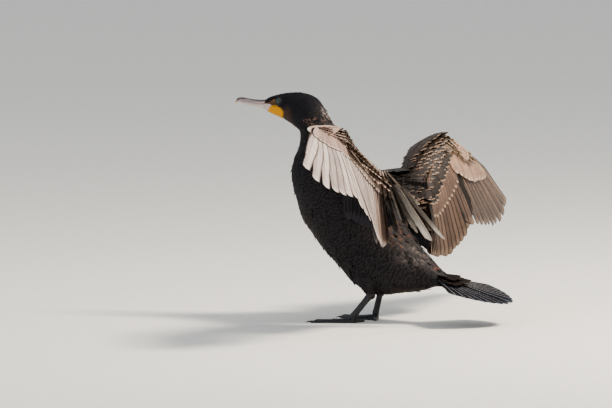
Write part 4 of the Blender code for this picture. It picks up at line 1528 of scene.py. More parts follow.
NEAR_LOOSE = (
    LooseVane(1.20, (0.06, -0.05, -0.99), 134, 30, -0.3, -1.0),
    LooseVane(1.15, (0.18, -0.02, -0.98), 130, 32, -0.2, 0.0),
    LooseVane(1.12, (0.30, 0.01, -0.95), 118, 32, -0.3, 1.5),
    LooseVane(1.10, (0.36, 0.03, -0.93), 94, 13, 2.0, 6.0),
    LooseVane(1.08, (0.44, 0.06, -0.90), 104, 30, -0.3, 3.0),
    LooseVane(1.05, (0.50, 0.08, -0.86), 120, 24, 0.5, 4.0),
    LooseVane(1.06, (0.57, 0.10, -0.81), 146, 36, 2.0, 8.0),
    LooseVane(1.03, (0.63, 0.12, -0.76), 128, 26, -0.3, 4.0),
    LooseVane(1.03, (0.67, 0.14, -0.73), 156, 20, 2.0, 7.0),
    LooseVane(1.00, (0.80, 0.12, -0.58), 70, 19, 1.4, 9.0, 14.0),
    LooseVane(0.98, (0.88, 0.14, -0.45), 56, 19, 2.0, 10.0, 20.0),
)
# Two dark vanes at the far wrist: painted shadow in the gap between secondaries and primaries.
FAR_WRIST_SHADOW_VANES = (
    LooseVane(1.97, (0.38, 0.11, -0.92), 158, 34, -0.2, -4.5),
    LooseVane(2.02, (0.36, 0.22, -0.91), 150, 32, 0.0, -6.0),
)
# Height of the flight feathers over the bones. Primaries are shifted up on the
# left wing and down on the right, so that they meet the secondaries.
FLIGHT_LIFT = -1.2
PRIMARY_SHIFT = 4.25


def flight_rows(plan: WingPlan) -> tuple[VaneRow, ...]:
    """Secondaries, and primaries that start beside the outermost of them."""
    return (
        VaneRow((1.17, 1.96), (1.0, 2.0), 12, plan.secondaries, plan.secondary_widths, FLIGHT,
                lift=FLIGHT_LIFT, stack=0.25, shaft_radius=0.9, turn=8),
        VaneRow((2.03, 2.97), (2.0, 3.0), 10, PRIMARY_LENGTHS, (29, 26), FINGER,
                lift=FLIGHT_LIFT - PRIMARY_SHIFT * plan.side.value, stack=0.6, shaft_radius=1.1, turn=6),
    )


def tertial_rows(plan: WingPlan) -> tuple[VaneRow | LooseVane, ...]:
    """Tertials, which stand apart in a loose fan, with two dark vanes of painted shadow at the far wrist.
    """
    if plan.side is Side.LEFT:
        return NEAR_LOOSE
    return (
        VaneRow((1.02, 1.15), (0.0, 0.85), 6, plan.tertials, (17, 16), TERTIAL, lift=0.5, stack=1.0,
                shaft_radius=0.8, turn=12),
        *FAR_WRIST_SHADOW_VANES,
    )


def shoulder_rows(plan: WingPlan) -> tuple[VaneRow, ...]:
    """Dark coverts of the upper arm, which hang beside the back."""
    return (
        VaneRow((0.80, 0.98), (0.95, 0.98), 5, plan.humerals, (24, 24), COVERT),
        VaneRow((0.40, 0.76), (1.0, 1.0), 7, (84, 96), (20, 20), COVERT, lift=-2.0, sag=0.001),
        VaneRow((0.40, 0.76), (1.0, 1.0), 7, (52, 56), (18, 18), COVERT, lift=1.0, sag=0.0014),
    )


def covert_rows(plan: WingPlan) -> tuple[VaneRow, ...]:
    """Rows that lie over the roots of the flight feathers, on both sides."""
    return (
        VaneRow((1.04, 1.97), (0.8, 2.0), 15, plan.greater_coverts, (20, 19), COVERT, lift=2.6,
                shaft_radius=0.4),
        VaneRow((1.02, 1.97), (0.8, 2.0), 16, plan.median_coverts, (19, 17), COVERT, chord=-0.72,
                turn=4, sag=0.0008, end=2.6),
        VaneRow((1.04, 1.97), (0.8, 2.0), 14, (50, 60, 56), (20, 19), COVERT, lift=3.8, under=True),
        VaneRow((1.02, 1.97), (0.8, 2.0), 15, (36, 38), (18, 16), COVERT, chord=-0.6, under=True,
                turn=4, sag=0.001, end=2.0),
    )


def hand_rows(plan: WingPlan) -> tuple[VaneRow | Alula, ...]:
    """Primary coverts, on both sides of the hand, and the alula."""
    return (
        VaneRow((2.03, 2.95), (2.0, 3.0), 10, plan.hand_coverts, (20, 17), COVERT,
                lift=4.2 - 1.2 * plan.side.value, stack=0.6, shaft_radius=0.4),
        VaneRow((2.02, 2.96), (2.0, 3.0), 11, (30, 34), (16, 14), COVERT, chord=-0.4, turn=4,
                sag=0.001, end=2.4),
        VaneRow((2.03, 2.95), (2.0, 3.0), 10, (60, 70, 70), (20, 17), COVERT, lift=4.0, under=True),
        Alula(),
    )


@dataclass
class WingDress:
    """One wing: arm skin, flight feathers, coverts and small scale feathers."""

    plan: WingPlan
    flight: FeatherFinish
    tertial: FeatherFinish
    hand_covert: FeatherFinish
    covert: FeatherFinish
    small: FeatherFinish
    shaft: SkinFinish
    seed: int
    # The arm's skin lies this much under the feet of the small feathers.
    inset: float = 1.2
    arm_rings: int = 60
    arm_around: int = 28
    # Small coverts curl down to the skin at their tips.
    small_blade: Blade = Blade(bend=0.5)

    def arm(self, wing: Wing) -> Tube:
        """The arm's skin, from shoulder to tip."""
        places = np.linspace(0, 3, ARM_STATIONS + 1)
        return Tube([wing.section(place, self.inset) for place in places])

    def build(self, skin: Material, body: Material) -> None:
        """All of the wing's pieces.

        Args:
            skin: the arm's material.
            body: material of the feathers that hang beside the back.
        """
        label, plan, shaft = self.plan.side.label, self.plan, self.shaft.build()
        wing = Wing(plan)
        tube = self.arm(wing)
        rng = np.random.default_rng(self.seed)
        rings = tube.rings(
            np.linspace(0, ARM_STATIONS, self.arm_rings), self.arm_around, np.zeros(self.arm_rings))
        nodes = tuple(f"{label}_wing_{part}" for part in ("upper_arm", "forearm", "hand"))
        publish(f"{label}_wing_skin", lofted(rings), skin, nodes, 50)
        for name, rows, finish, cells in (
            ("flight_feathers", flight_rows(plan), self.flight.build(), (8, 3)),
            ("tertials", tertial_rows(plan), self.tertial.build(), (4, 3)),
            ("shoulder_coverts", shoulder_rows(plan), body, (10, 2)),
            ("coverts", covert_rows(plan), self.covert.build(), (10, 6)),
            ("hand_coverts", hand_rows(plan), self.hand_covert.build(), (9, 4)),
        ):
            feathering = Feathering(*cells, rng)
            for row in rows:
                row.fill(wing, feathering)
            publish(f"{label}_{name}", feathering.vanes, finish)
            if feathering.shafts.count:
                publish(f"{label}_{name}_shafts", feathering.shafts, shaft)
        pile = Pile()
        for row in plan.small_coverts.plumes(wing, tube, rng):
            row.fill(pile, rng, self.small_blade)
        publish(f"{label}_lesser_coverts", pile, self.small.build())


# Pale silver, a painted sheen of the sunlit near wing, with brown edges that paint thin shadow lines
# between the feathers.
NEAR_FLIGHT = FeatherFinish(
    "Near flight feathers, sun-bleached keratin, grown", dark="#8f827e", light="#ded2cb",
    fringe="#efe6e0", shaft="#a8998f", band="#6a5d5a", fringe_from=0.9, fringe_strength=0.3,
    band_strength=0.1, shaft_width=0.05, edge="#4a362d", edge_strength=0.95, edge_from=0.70,
    split="#7d6f6a", split_strength=0.35, barbs=70, roughness=0.45, gloss=0.1,
    zones=(Zone((84, -112, 165), (30, 46, 85), "#8f705c", 0.6, 0.5),),
)
# Each vane is nearly all pale or all dark, so that the loose fan looks streaked.
NEAR_TERTIAL = FeatherFinish(
    "Near tertials, worn and bleached keratin, grown", dark="#17110e", light="#f6efe7",
    fringe="#c9b8aa", shaft="#6d5d52", band="#3a2f29", fringe_from=0.9, fringe_strength=0.3,
    band_strength=0.1, edge="#3a2c24", edge_strength=0.8, edge_from=0.80, split="#6d5c51",
    split_strength=0.35, barbs=50, roughness=0.45, gloss=0.1,
)
# A soft pinkish brown band over the bright primaries.
NEAR_HAND_COVERT = FeatherFinish(
    "Near hand coverts, brown-pink keratin, grown", dark="#846a60", light="#bda59a", fringe="#e9dcd3",
    shaft="#a08b80", band="#6d574e", fringe_strength=0.85, edge="#6a5348", edge_strength=0.4,
    edge_from=0.72, side_share=0.8, barbs=36,
)
# Brown edges, which make long stripes down the wing, on pale brown vanes lightened by a painted sheen of
# the sunlit near wing.
NEAR_COVERT = FeatherFinish(
    "Near coverts, bleached brown keratin, grown", dark="#7d685e", light="#cbb9ac", fringe="#d6c8bc",
    shaft="#8f7d72", band="#4a3d36", fringe_from=0.90, edge="#4a372d", edge_strength=0.8, edge_from=0.70,
    side_share=0.85,
)
# Worn pale rims on brown, which sparkle along the front of the wing.
NEAR_SMALL = FeatherFinish(
    "Near lesser coverts, worn brown keratin, grown", dark="#4a3930", light="#8d776a", fringe="#c6b3a6",
    shaft="#5a4a41", band="#241b16", fringe_from=0.82, fringe_strength=0.75, band_strength=0.4,
    side_share=0.9, barbs=10, gloss=0.05,
    over=(Zone((5, -60, 268), (95, 34, 45), "#17110f", 0.97),
          Zone((38, -310, 362), (30, 50, 26), "#b9a299", 0.5)),
)
# Smooth thin ribs that catch the light.
NEAR_SHAFT = SkinFinish(
    "Near feather shafts, brown keratin", dark="#8d7c72", light="#c4b5aa", roughness=0.4,
)
# Bronze vanes with near-black edges, painted shadow lines in the gaps between them, so that each feather
# is told apart.
FAR_FLIGHT = FeatherFinish(
    "Far flight feathers, bronze-brown keratin, grown", dark="#4e3c32", light="#8a7160",
    fringe="#a08a76", shaft="#5f4d40", band="#1d1612", fringe_from=0.9, fringe_strength=0.3,
    band_strength=0.1, shaft_width=0.05, edge="#150f0c", edge_strength=0.95, edge_from=0.66,
    split="#2a2019", split_strength=0.5, barbs=70, roughness=0.42, gloss=0.1,
)
# Dark brown, painted shadow between the wing and the back and in the gap at the wrist.
FAR_TERTIAL = FeatherFinish(
    "Far tertials, dark brown keratin, grown", dark="#1a1310", light="#3a2c25", fringe="#5a483d",
    shaft="#2a201b", band="#0d0a08", band_strength=0.3, edge="#0d0a08", edge_strength=0.6, barbs=50,
    roughness=0.45, gloss=0.1,
)
# Pinkish beige, the palest patch of the wing beside the dark scales.
FAR_HAND_COVERT = FeatherFinish(
    "Far hand coverts, pinkish beige keratin, grown", dark="#8d6f5e", light="#c4a893", fringe="#dccab9",
    shaft="#8c705f", band="#5d493e", fringe_from=0.88, band_strength=0.2, edge="#5d483b",
    edge_strength=0.5, edge_from=0.72, side_share=0.8, barbs=36,
)
# Bronze with thin cream tips, which draw rows across the wing.
FAR_COVERT = FeatherFinish(
    "Far coverts, bronze-brown keratin, grown", dark="#54423a", light="#8a7060", fringe="#b9a18c",
    shaft="#4a3a30", band="#1d1511", fringe_from=0.92, fringe_strength=0.7, edge="#1d1511",
    edge_strength=0.8, edge_from=0.70, side_share=0.85,
)
# Cream rims on near-black scales, seen as rows of bright arcs, with painted shade darkening the inner arm.
FAR_SMALL = FeatherFinish(
    "Far lesser coverts, dark bronze keratin, grown", dark="#1f1713", light="#46362d",
    fringe="#a88c77", shaft="#2a201b", band="#0a0706", fringe_from=0.88, fringe_strength=0.9,
    band_strength=0.85, side_share=0.93, barbs=10, roughness=0.48, gloss=0.05,
    # Near black over the inner arm: painted shade on the scales there.
    over=(Zone((5, 66, 256), (100, 62, 50), "#16100e", 0.97),
          Zone((58, 305, 280), (34, 72, 36), "#cdb9a6", 0.8)),
)
# Thin dark brown ribs, little lighter than the vanes.
FAR_SHAFT = SkinFinish(
    "Far feather shafts, dark brown keratin", dark="#4a3a30", light="#7d6858", roughness=0.4,
)
# Matt slate, so dark that the pale shafts stand out like wires.
TAIL_FINISH = FeatherFinish(
    "Tail feathers, stiff slate keratin, grown", dark="#10131b", light="#242836", fringe="#3a3f4f",
    shaft="#b9b7b4", band="#08090d", band_strength=0.2, shaft_width=0.05, edge="#050608",
    edge_strength=0.8, barbs=60, barb_depth=0.03, roughness=0.7, gloss=0.0, specular=0.05,
)
# Matt brown-black tufts that hide the tail's root.
TAIL_COVERT = FeatherFinish(
    "Tail coverts, brown-black keratin, grown", dark="#120e0d", light="#2f2521", fringe="#4a3c35",
    shaft="#17120f", fringe_strength=0.6, band_strength=0.4, barb_depth=0.04, roughness=0.7, gloss=0.0,
    specular=0.1,
)
# Pale stiff ribs, one bright line a feather.
TAIL_SHAFT = SkinFinish(
    "Tail shafts, pale keratin", dark="#8f8d8c", light="#c4c2c0",
)


@dataclass
class TailFan:
    """Fan of stiff tail feathers with coverts above and below.

    Lengths are those of the outermost and the middle feather. The collar is the
    distance from the root at which all of them start. The middle feather lies over
    the others.
    """

    root: Point = (126.0, 0.0, 84.0)
    slope: float = math.radians(16)
    half_fan: float = math.radians(47)
    collar: float = 8.0
    turn: float = 2.5
    count: int = 14
    lengths: Pair = (122.0, 152.0)
    width: float = 30.0
    middle_lift: float = 1.6
    shaft_radius: float = 0.42
    # Rows of coverts: count, lift, length, rise and share of the fan.
    coverts: tuple[tuple[int, float, float, float, float], ...] = (
        (13, 4.4, 66.0, 1.6, 0.86), (12, 6.2, 50.0, 4.0, 0.78),
        (8, -5.0, 76.0, -1.5, 0.78), (8, -6.2, 52.0, -2.0, 0.7),
    )
    covert_width: float = 15.0
    covert_lengths: Pair = (0.75, 1.15)
    covert_jitter: float = 0.9
    # Coverts lie a little to the right, so that no two rows line up.
    covert_shift: float = 0.02
    seed: int = 31

    def lay(self, turn: float, lift: float, length: float, width: float, rise: float = 0.0) -> Lay:
        """How one feather lies.

        Args:
            turn: angle from the middle, in radians, more than 0 on the right.
            lift: height over the fan.
            length: length from the root.
            width: full width.
            rise: height of the tip's line over the root's.

        Returns:
            The lay.
        """
        back = np.array((math.cos(self.slope), 0, -math.sin(self.slope)))
        up = np.array((math.sin(self.slope), 0, math.cos(self.slope)))
        side = np.array((0.0, 1.0 if turn > 0 else -1.0, 0.0))
        way = back * math.cos(turn) + side * math.sin(abs(turn))
        out = side * math.cos(turn) - back * math.sin(abs(turn))
        root = np.array(self.root) + up * lift + way * self.collar
        return Lay(root, way, (out, out), int(side[1]), length - self.collar, width, self.turn, rise=rise)

    def build(self) -> None:
        """The tail's pieces."""
        rng = np.random.default_rng(self.seed)
        feathers = Feathering(7, 2, rng)
        outer, middle = self.lengths
        for k in range(self.count):
            share = k / (self.count - 1) * 2 - 1
            length = middle + (outer - middle) * abs(share) ** 1.5
            lift = self.middle_lift if k == self.count // 2 else 0.0
            lay = self.lay(share * self.half_fan, lift, length, self.width)
            feathers.add(TAIL_VANE, lay, shaft=self.shaft_radius)
        publish("tail_feathers", feathers.vanes, TAIL_FINISH.build(), ("tail",))
        publish("tail_shafts", feathers.shafts, TAIL_SHAFT.build())
        cover = Feathering(11, 4, rng)
        for count, lift, full, rise, spread in self.coverts:
            for k in range(count):
                share = k / (count - 1) * 2 - 1 + self.covert_shift
                row_lift = lift + rng.uniform(-self.covert_jitter, self.covert_jitter)
                length = full * rng.uniform(*self.covert_lengths)
                turn = share * self.half_fan * spread
                cover.add(COVERT, self.lay(turn, row_lift, length, self.covert_width, rise))
        publish("tail_coverts", cover.vanes, TAIL_COVERT.build())


UPPER_BILL_STATIONS = (
    ((-191.0, 385.4), (-191.0, 377.7), 7.1),
    ((-203, 384.8), (-203, 378.0), 5.9), ((-214, 385.3), (-214, 378.7), 5.0),
    ((-226, 386.7), (-226, 379.8), 4.3), ((-236, 388.0), (-236.5, 380.6), 3.9),
    ((-243.5, 387.0), (-240.9, 380.7), 3.5), ((-248.3, 382.6), (-243.6, 379.8), 2.6),
    ((-249.6, 377.6), (-246.4, 377.4), 1.5), ((-248.6, 374.9), (-247.4, 375.2), 0.6),
)
LOWER_BILL_STATIONS = (
    ((-191.5, 377.2), (-191.5, 368.7), 7.0), ((-203, 377.6), (-203, 371.0), 5.6),
    ((-214, 378.3), (-214, 372.7), 4.7), ((-226, 379.4), (-226, 374.6), 4.0),
    ((-235, 380.1), (-235, 376.3), 3.2), ((-239.2, 380.0), (-239.0, 377.8), 1.8),
)
# Worn horn with a soft shine: slate on the ridge, pinkish grey on the sides.
UPPER_HORN = SkinFinish(
    "Upper bill, grey horn, grown and worn", dark="#8d7a76", light="#b9a49c", cell=2.4, relief=0.06,
    roughness=0.36, gloss=0.3, stretch=(0.18, 1.0, 1.0), groove=0.15,
    zones=(
        Zone((-200, 0, 387.9), (28, 12, 6.4), "#2b2b36", 0.97, 0.16),
        Zone((-231, 0, 390.5), (17, 12, 6.4), "#2f2f3b", 0.97, 0.16),
        Zone((-243, 0, 387), (4, 8, 4.4), "#3b3638", 0.9, 0.2),
        Zone((-213, 0, 381.9), (21, 12, 0.9), "#4d4b5c", 0.8, 0.3),
        Zone((-247.5, 0, 376), (3, 4, 3.5), "#e0cf9c", 0.8, 0.4),
    ),
)
# Paler horn, a little yellow where it meets the throat.
LOWER_HORN = SkinFinish(
    "Lower bill, pale horn, grown and worn", dark="#a89a94", light="#d0c3bd", cell=2.4, relief=0.06,
    roughness=0.36, gloss=0.3, stretch=(0.18, 1.0, 1.0), groove=0.12,
    zones=(Zone((-197, 0, 369), (14, 9, 3), "#c08f3c", 0.6, 0.4),),
)


@dataclass
class Bill:
    """Hooked upper bill over a straight lower bill.

    The arch power squares its section off. The groove is the nostril's furrow, as
    (x, z) at its front and rear end, where it fades out over a few millimetres.
    """

    steps: int = 10
    arc: int = 18
    floor_points: int = 5
    arch_power: float = 0.8
    groove: tuple[float, float, float, float] = (-230.0, 382.8, -195.0, 381.4)
    groove_fades: Pair = (5.0, 4.0)
    groove_depth: float = 0.55
    groove_width: float = 0.55
    groove_clear: float = 1.0

    def rings(self, stations: tuple[tuple, ...], over: bool) -> list[Places]:
        """Smooth arched rings of one half, flat where the halves meet.

        Args:
            stations: top (x, z), bottom (x, z) and half width of each.
            over: whether it is the upper half.

        Returns:
            The rings.
        """
        values = np.array([(*top, *bottom, half) for top, bottom, half in stations], float)
        places = np.linspace(0, len(values) - 1, (len(values) - 1) * self.steps + 1)
        turns = np.pi * (np.arange(self.arc + 1) / self.arc - 0.5)
        arch = (np.maximum(np.cos(turns), 0) ** self.arch_power)[:, None]
        across = np.concatenate([np.sin(turns), np.linspace(1, -1, self.floor_points + 2)[1:-1]])
        made = []
        for row in curve(values, places):
            crest, base = (row[0:2], row[2:4]) if over else (row[2:4], row[0:2])
            flat = np.vstack([base + (crest - base) * arch, np.tile(base, (self.floor_points, 1))])
            ring = np.stack([flat[:, 0], row[4] * across, flat[:, 1]], -1)
            made.append(self.furrow(ring) if over else ring)
        return made

    def furrow(self, ring: Places) -> Places:
        """Press the nostril's furrow into both sides of a ring.

        Args:
            ring: points of the ring.

        Returns:
            The changed points.
        """
        x0, z0, x1, z1 = self.groove
        front, rear = self.groove_fades
        share = np.clip((ring[:, 0] - x0) / (x1 - x0), 0, 1)
        line = z0 + (z1 - z0) * share
        inside = np.clip((ring[:, 0] - x0) / front, 0, 1) * np.clip((x1 - ring[:, 0]) / rear, 0, 1)
        depth = self.groove_depth * inside * np.exp(-((ring[:, 2] - line) / self.groove_width) ** 2)
        made = ring.copy()
        made[:, 1] -= np.sign(ring[:, 1]) * depth * (np.abs(ring[:, 1]) > self.groove_clear)
        return made

    def build(self) -> None:
        """Both halves."""
        for name, stations, over, finish in (
            ("upper_bill", UPPER_BILL_STATIONS, True, UPPER_HORN),
            ("lower_bill", LOWER_BILL_STATIONS, False, LOWER_HORN),
        ):
            publish(f"{name}_horn", lofted(self.rings(stations, over)), finish.build(),
                    (name,), 50)


# Tiny dark beads, a rough ring that sets off the wet eye.
LID_SKIN = SkinFinish(
    "Eyelids, dark beaded skin", dark="#15130f", light="#3d3a38", cell=0.8, relief=0.12, gloss=0.1,
    groove=0.5,
)


@dataclass
class EyeSet:
    """Eyeball in its ring of lids.

    The lids' ring lies this far out from the eye's middle and a little higher. Its
    upper and lower half are flattened by their shares, and it bulges outwards at
    the top, with beads all round.
    """

    side: Side
    lid_radius: float = 4.5
    lid_thickness: float = 0.85
    lid_offset: Pair = (2.75, 0.2)
    flat: Pair = (0.90, 0.96)
    bulge: float = 0.25
    bead: float = 0.05
    beads: int = 22

    def build(self, lid: Material) -> None:
        """Eyeball and lids of one side.

        Args:
            lid: the lids' material.
        """
        sign, label = self.side.value, self.side.label
        centre = Vector((EYE_PLACE[0], sign * EYE_PLACE[1], EYE_PLACE[2]))
        ball = bmesh.new()
        bmesh.ops.create_uvsphere(
            ball, u_segments=40, v_segments=24, radius=EYE_RADIUS,
            matrix=Matrix.Translation(centre) @ Matrix.Rotation(math.pi / 2, 4, "X"))
        # A clear wet coat gives one sharp highlight over the dark green iris.
        finish = EyeFinish(f"Wet eye, green iris, {label}", self.side).build()
        publish(f"{label}_eyeball", ball, finish, (f"{label}_eye",), 50)
        ring = bmesh.new()
        out, above = self.lid_offset
        middle = centre + Vector((0, sign * out, above))
        start = Matrix.Translation(middle + Vector((self.lid_radius, 0, 0)))
        bmesh.ops.create_circle(ring, cap_ends=False, segments=10, radius=self.lid_thickness, matrix=start)
        bmesh.ops.spin(ring, geom=list(ring.verts) + list(ring.edges), cent=middle, axis=(0, 1, 0),
                       angle=2 * math.pi, steps=2 * self.beads, use_merge=True)
        for vert in ring.verts:
            off = vert.co - middle
            turn = math.atan2(off.z, off.x)
            vert.co.y += sign * (self.bulge * math.sin(turn) + self.bead * math.sin(turn * self.beads))
            vert.co.z = middle.z + off.z * self.flat[0 if off.z > 0 else 1]
        publish(f"{label}_lids", ring, lid, sharp=50)


LEG_JOINTS = {
    Side.LEFT: ((14, -37, 95), (22, -38, 50), (-10, -40, 11)),
    Side.RIGHT: ((12, 39, 100), (14, 36, 58), (2, 38, 11)),
}
# Toes from the inner one to the rear one: degrees outwards from ahead, length.
TOES = ((20, 84), (-4, 75), (-30, 57), (-112, 34))
# Sections of a toe: share of its length, half width, height.
TOE_SECTIONS = (
    (-0.04, 5.5, 9.0), (0.15, 4.6, 8.0), (0.4, 3.4, 5.6), (0.65, 3.0, 4.8), (0.84, 2.4, 4.2),
    (0.88, 1.2, 2.6),
)
FOOT_TURN = {Side.LEFT: math.radians(4), Side.RIGHT: math.radians(2)}
# Rough black plates with a dull shine on each.
SCALE_SKIN = SkinFinish("Leg and toe skin, black scales", dark="#0b0b0e", light="#2a2c36", cell=2.1,
                        relief=0.3, roughness=0.42, gloss=0.25, groove=0.8)
# Softer and finer creased than the toes.
WEB_SKIN = SkinFinish(
    "Webs, black creased skin", dark="#0c0c0f", light="#24252d", cell=1.5, relief=0.2, gloss=0.15,
    groove=0.5,
)
# Smooth horn with a small bright highlight.
CLAW_HORN = SkinFinish(
    "Claws, black horn", dark="#0a0a0b", light="#2b2724", cell=2.0, relief=0.03, roughness=0.3,
    gloss=0.4,
)


@dataclass(frozen=True)
class Toe:
    """One toe with its claw: direction on the floor, length and where it starts."""

    floor: Places
    way: Places
    length: float
    steps: int = 40
    arc: int = 14
    sole_points: int = 5
    # Knuckles swell it by this share, one every few millimetres.
    swell: float = 0.07
    knuckle: float = 6.0
    arch_power: float = 0.7
    # The claw's share of the length, rise of its middle, drop of its tip and size.
    claw_start: float = 0.82
    claw_steps: int = 14
    claw_sides: int = 12
    claw_heights: tuple[float, float, float] = (2.3, 0.9, -2.0)
    claw_size: float = 1.75
    claw_point: float = 0.12

    @property
    def across(self) -> Places:
        """Unit direction across it on the floor."""
        return np.array((-self.way[1], self.way[0], 0.0))

    def rings(self) -> list[Places]:
        """Rings of the toe, with pads and knuckles, flat on the floor."""
        shares, widths, heights = zip(*TOE_SECTIONS)
        turns = np.pi * np.arange(self.arc + 1) / self.arc
        arch = np.maximum(np.sin(turns), 0) ** self.arch_power
        arch = np.concatenate([arch, np.zeros(self.sole_points)])
        over = np.concatenate([np.cos(turns), np.linspace(-1, 1, self.sole_points + 2)[1:-1]])
        made = []
        for share in np.linspace(shares[0], shares[-1], self.steps):
            swell = 1 + self.swell * math.cos(share * self.length / self.knuckle * 2 * math.pi)
            wide = np.interp(share, shares, widths) * swell
            high = np.interp(share, shares, heights) * swell
            ring = self.floor + self.way * self.length * share + self.across * wide * over[:, None]
            ring[:, 2] = np.maximum(high * arch, 0.0)
            made.append(ring)
        return made

    def claw_rings(self) -> list[Places]:
        """Rings of the curved claw."""
        turns = circle(self.claw_sides)[:, None]
        foot, hump, drop = self.claw_heights
        made = []
        for share in np.linspace(0, 1, self.claw_steps):
            reach = self.claw_start + (1 - self.claw_start) * share
            centre = self.floor + self.way * self.length * reach
            centre = centre + (0, 0, foot + hump * math.sin(share * math.pi * 0.8) + drop * share ** 2)
            size = self.claw_size * (1 - share) ** 0.75 + self.claw_point
            made.append(centre + self.across * size * 0.8 * np.cos(turns)
                        + np.array((0, 0, size * 1.1)) * np.sin(turns))
        return made

    def web_rings(self, other: "Toe") -> list[Places]:
        """Rings across a thin web with a hollow front edge.

        Args:
            other: the toe on its other side.

        Returns:
            The rings.
        """
        start, end = self.way * self.length, other.way * other.length
        made = []
        for share in np.linspace(0, 1, 25):
            reach = start + (end - start) * share
            # The edge is drawn in most in the middle, and the web sags in small waves.
            edge = 0.80 - 0.16 * math.sin(math.pi * share)
            sag = 0.5 * math.sin(math.pi * share) + 0.25 * math.sin(share * 9 * math.pi)
            out = np.linspace(0.05, edge, 12)
            top = 3.3 - (1.1 + sag) * out / edge
            under = np.maximum(top - 1.1, 0.25)
            upper = self.floor + reach * out[:, None]
            lower = upper[::-1].copy()
            upper[:, 2], lower[:, 2] = top, under[::-1]
            made.append(np.vstack([upper, lower]))
        return made


@dataclass
class Leg:
    """Feathered shank, scaled tarsus and a four-toed webbed foot on the floor.

    The sections are half sizes across and from front to rear, from the top to the
    foot. The tables hold a value by station.
    """

    side: Side
    seed: int
    skin: Material
    feather: Material
    scales: Material
    web: Material
    claw: Material
    around: int = 28
    sections: Table = ((21, 23), (18, 20), (11, 13), (5.5, 8.5), (4, 6), (3.6, 5.6), (4.3, 5.8),
                       (4.9, 6.3), (4.4, 5.3))
    skin_depths: Table = ((0, 2.5), (2.4, 1.2), (3, 0.8))
    root_depths: Table = ((0, 2.2), (2.4, 1.2), (3, 0.8))
    spacings: Table = ((0, 4.2), (2, 3.0), (3, 1.8))
    lifts: Table = ((0, 2.0), (3, 0.9))
    coat: Pair = (0.2, 3.05)
    length: float = 3.3
    width: float = 2.1
    lift_range: Pair = (0.7, 1.4)

    def tube(self) -> Tube:
        """The leg from inside the body down to the toe joint."""
        top, ankle, joint = [np.array(place, float) for place in LEG_JOINTS[self.side]]
        shank, tarsus = ankle - top, joint - ankle
        stations = []
        for (centre, axis), (wide, deep) in zip((
            (top, shank), (top + shank * 0.4, shank), (top + shank * 0.75, shank),
            (ankle, shank + tarsus), (ankle + tarsus * 0.2, tarsus), (ankle + tarsus * 0.6, tarsus),
            (joint - unit(tarsus) * 6, tarsus), (joint, tarsus),
            (joint - (0, 0, 6), tarsus + (0, 0, -20)),
        ), self.sections):
            across = square_to(np.array((0.0, 1.0, 0.0)), unit(axis))
            stations.append((centre, across * wide, np.cross(unit(axis), across) * deep))
        return Tube(stations)

    def build(self) -> None:
        """All of one leg's pieces."""
        label = self.side.label
        tube = self.tube()
        down = np.linspace(0, 3, 24)
        shank = tube.rings(down, self.around, -read(self.skin_depths, down))
        publish(f"{label}_shank_skin", lofted(shank), self.skin, sharp=50)
        bare = tube.rings(np.linspace(2.75, 8, 60), self.around, np.zeros(60))
        publish(f"{label}_tarsus_skin", lofted(bare), self.scales, (f"{label}_leg",), 50)
        self.build_coat(tube)
        self.build_foot()

    def build_coat(self, tube: Tube) -> None:
        """Small feathers down to the ankle.

        Args:
            tube: the leg's surface.
        """
        rng = np.random.default_rng(self.seed)
        s, turn = tube.scatter(lambda at: read(self.spacings, at), *self.coat, rng)
        place, normal, way, _ = tube.frames(s, turn)
        step = read(self.spacings, s)
        plumes = Plumes(
            place - normal * read(self.root_depths, s)[:, None], normal, way, step * self.length,
            step * self.width, read(self.lifts, s) * rng.uniform(*self.lift_range, len(s)),
            rng.random(len(s)), unwrapped(s, self.coat[1], turn, 0.02, 0.9))
        pile = Pile()
        plumes.fill(pile, rng)
        publish(f"{self.side.label}_shank_feathers", pile, self.feather)

    def toes(self) -> list[Toe]:
        """The foot's toes."""
        x, y, _ = LEG_JOINTS[self.side][2]
        made = []
        for degrees, length in TOES:
            turn = FOOT_TURN[self.side] + math.radians(degrees)
            way = np.array((-math.cos(turn), self.side.value * math.sin(turn), 0.0))
            made.append(Toe(np.array((x, y, 0.0)), way, length))
        return made

    def build_foot(self) -> None:
        """Toes, webs and claws."""
        label, toes = self.side.label, self.toes()
        for name, parts, finish, nodes in (
            ("toes", [toe.rings() for toe in toes], self.scales, (f"{label}_foot",)),
            ("claws", [toe.claw_rings() for toe in toes], self.claw, ()),
            ("webs", [toe.web_rings(other) for toe, other in zip(toes, toes[1:])], self.web, ()),
        ):
            whole = bpy.data.meshes.new(name)
            shape = bmesh.new()
            for rings in parts:
                one = lofted(rings)
                one.to_mesh(whole)
                one.free()
                shape.from_mesh(whole)
            publish(f"{label}_{name}", shape, finish, nodes)


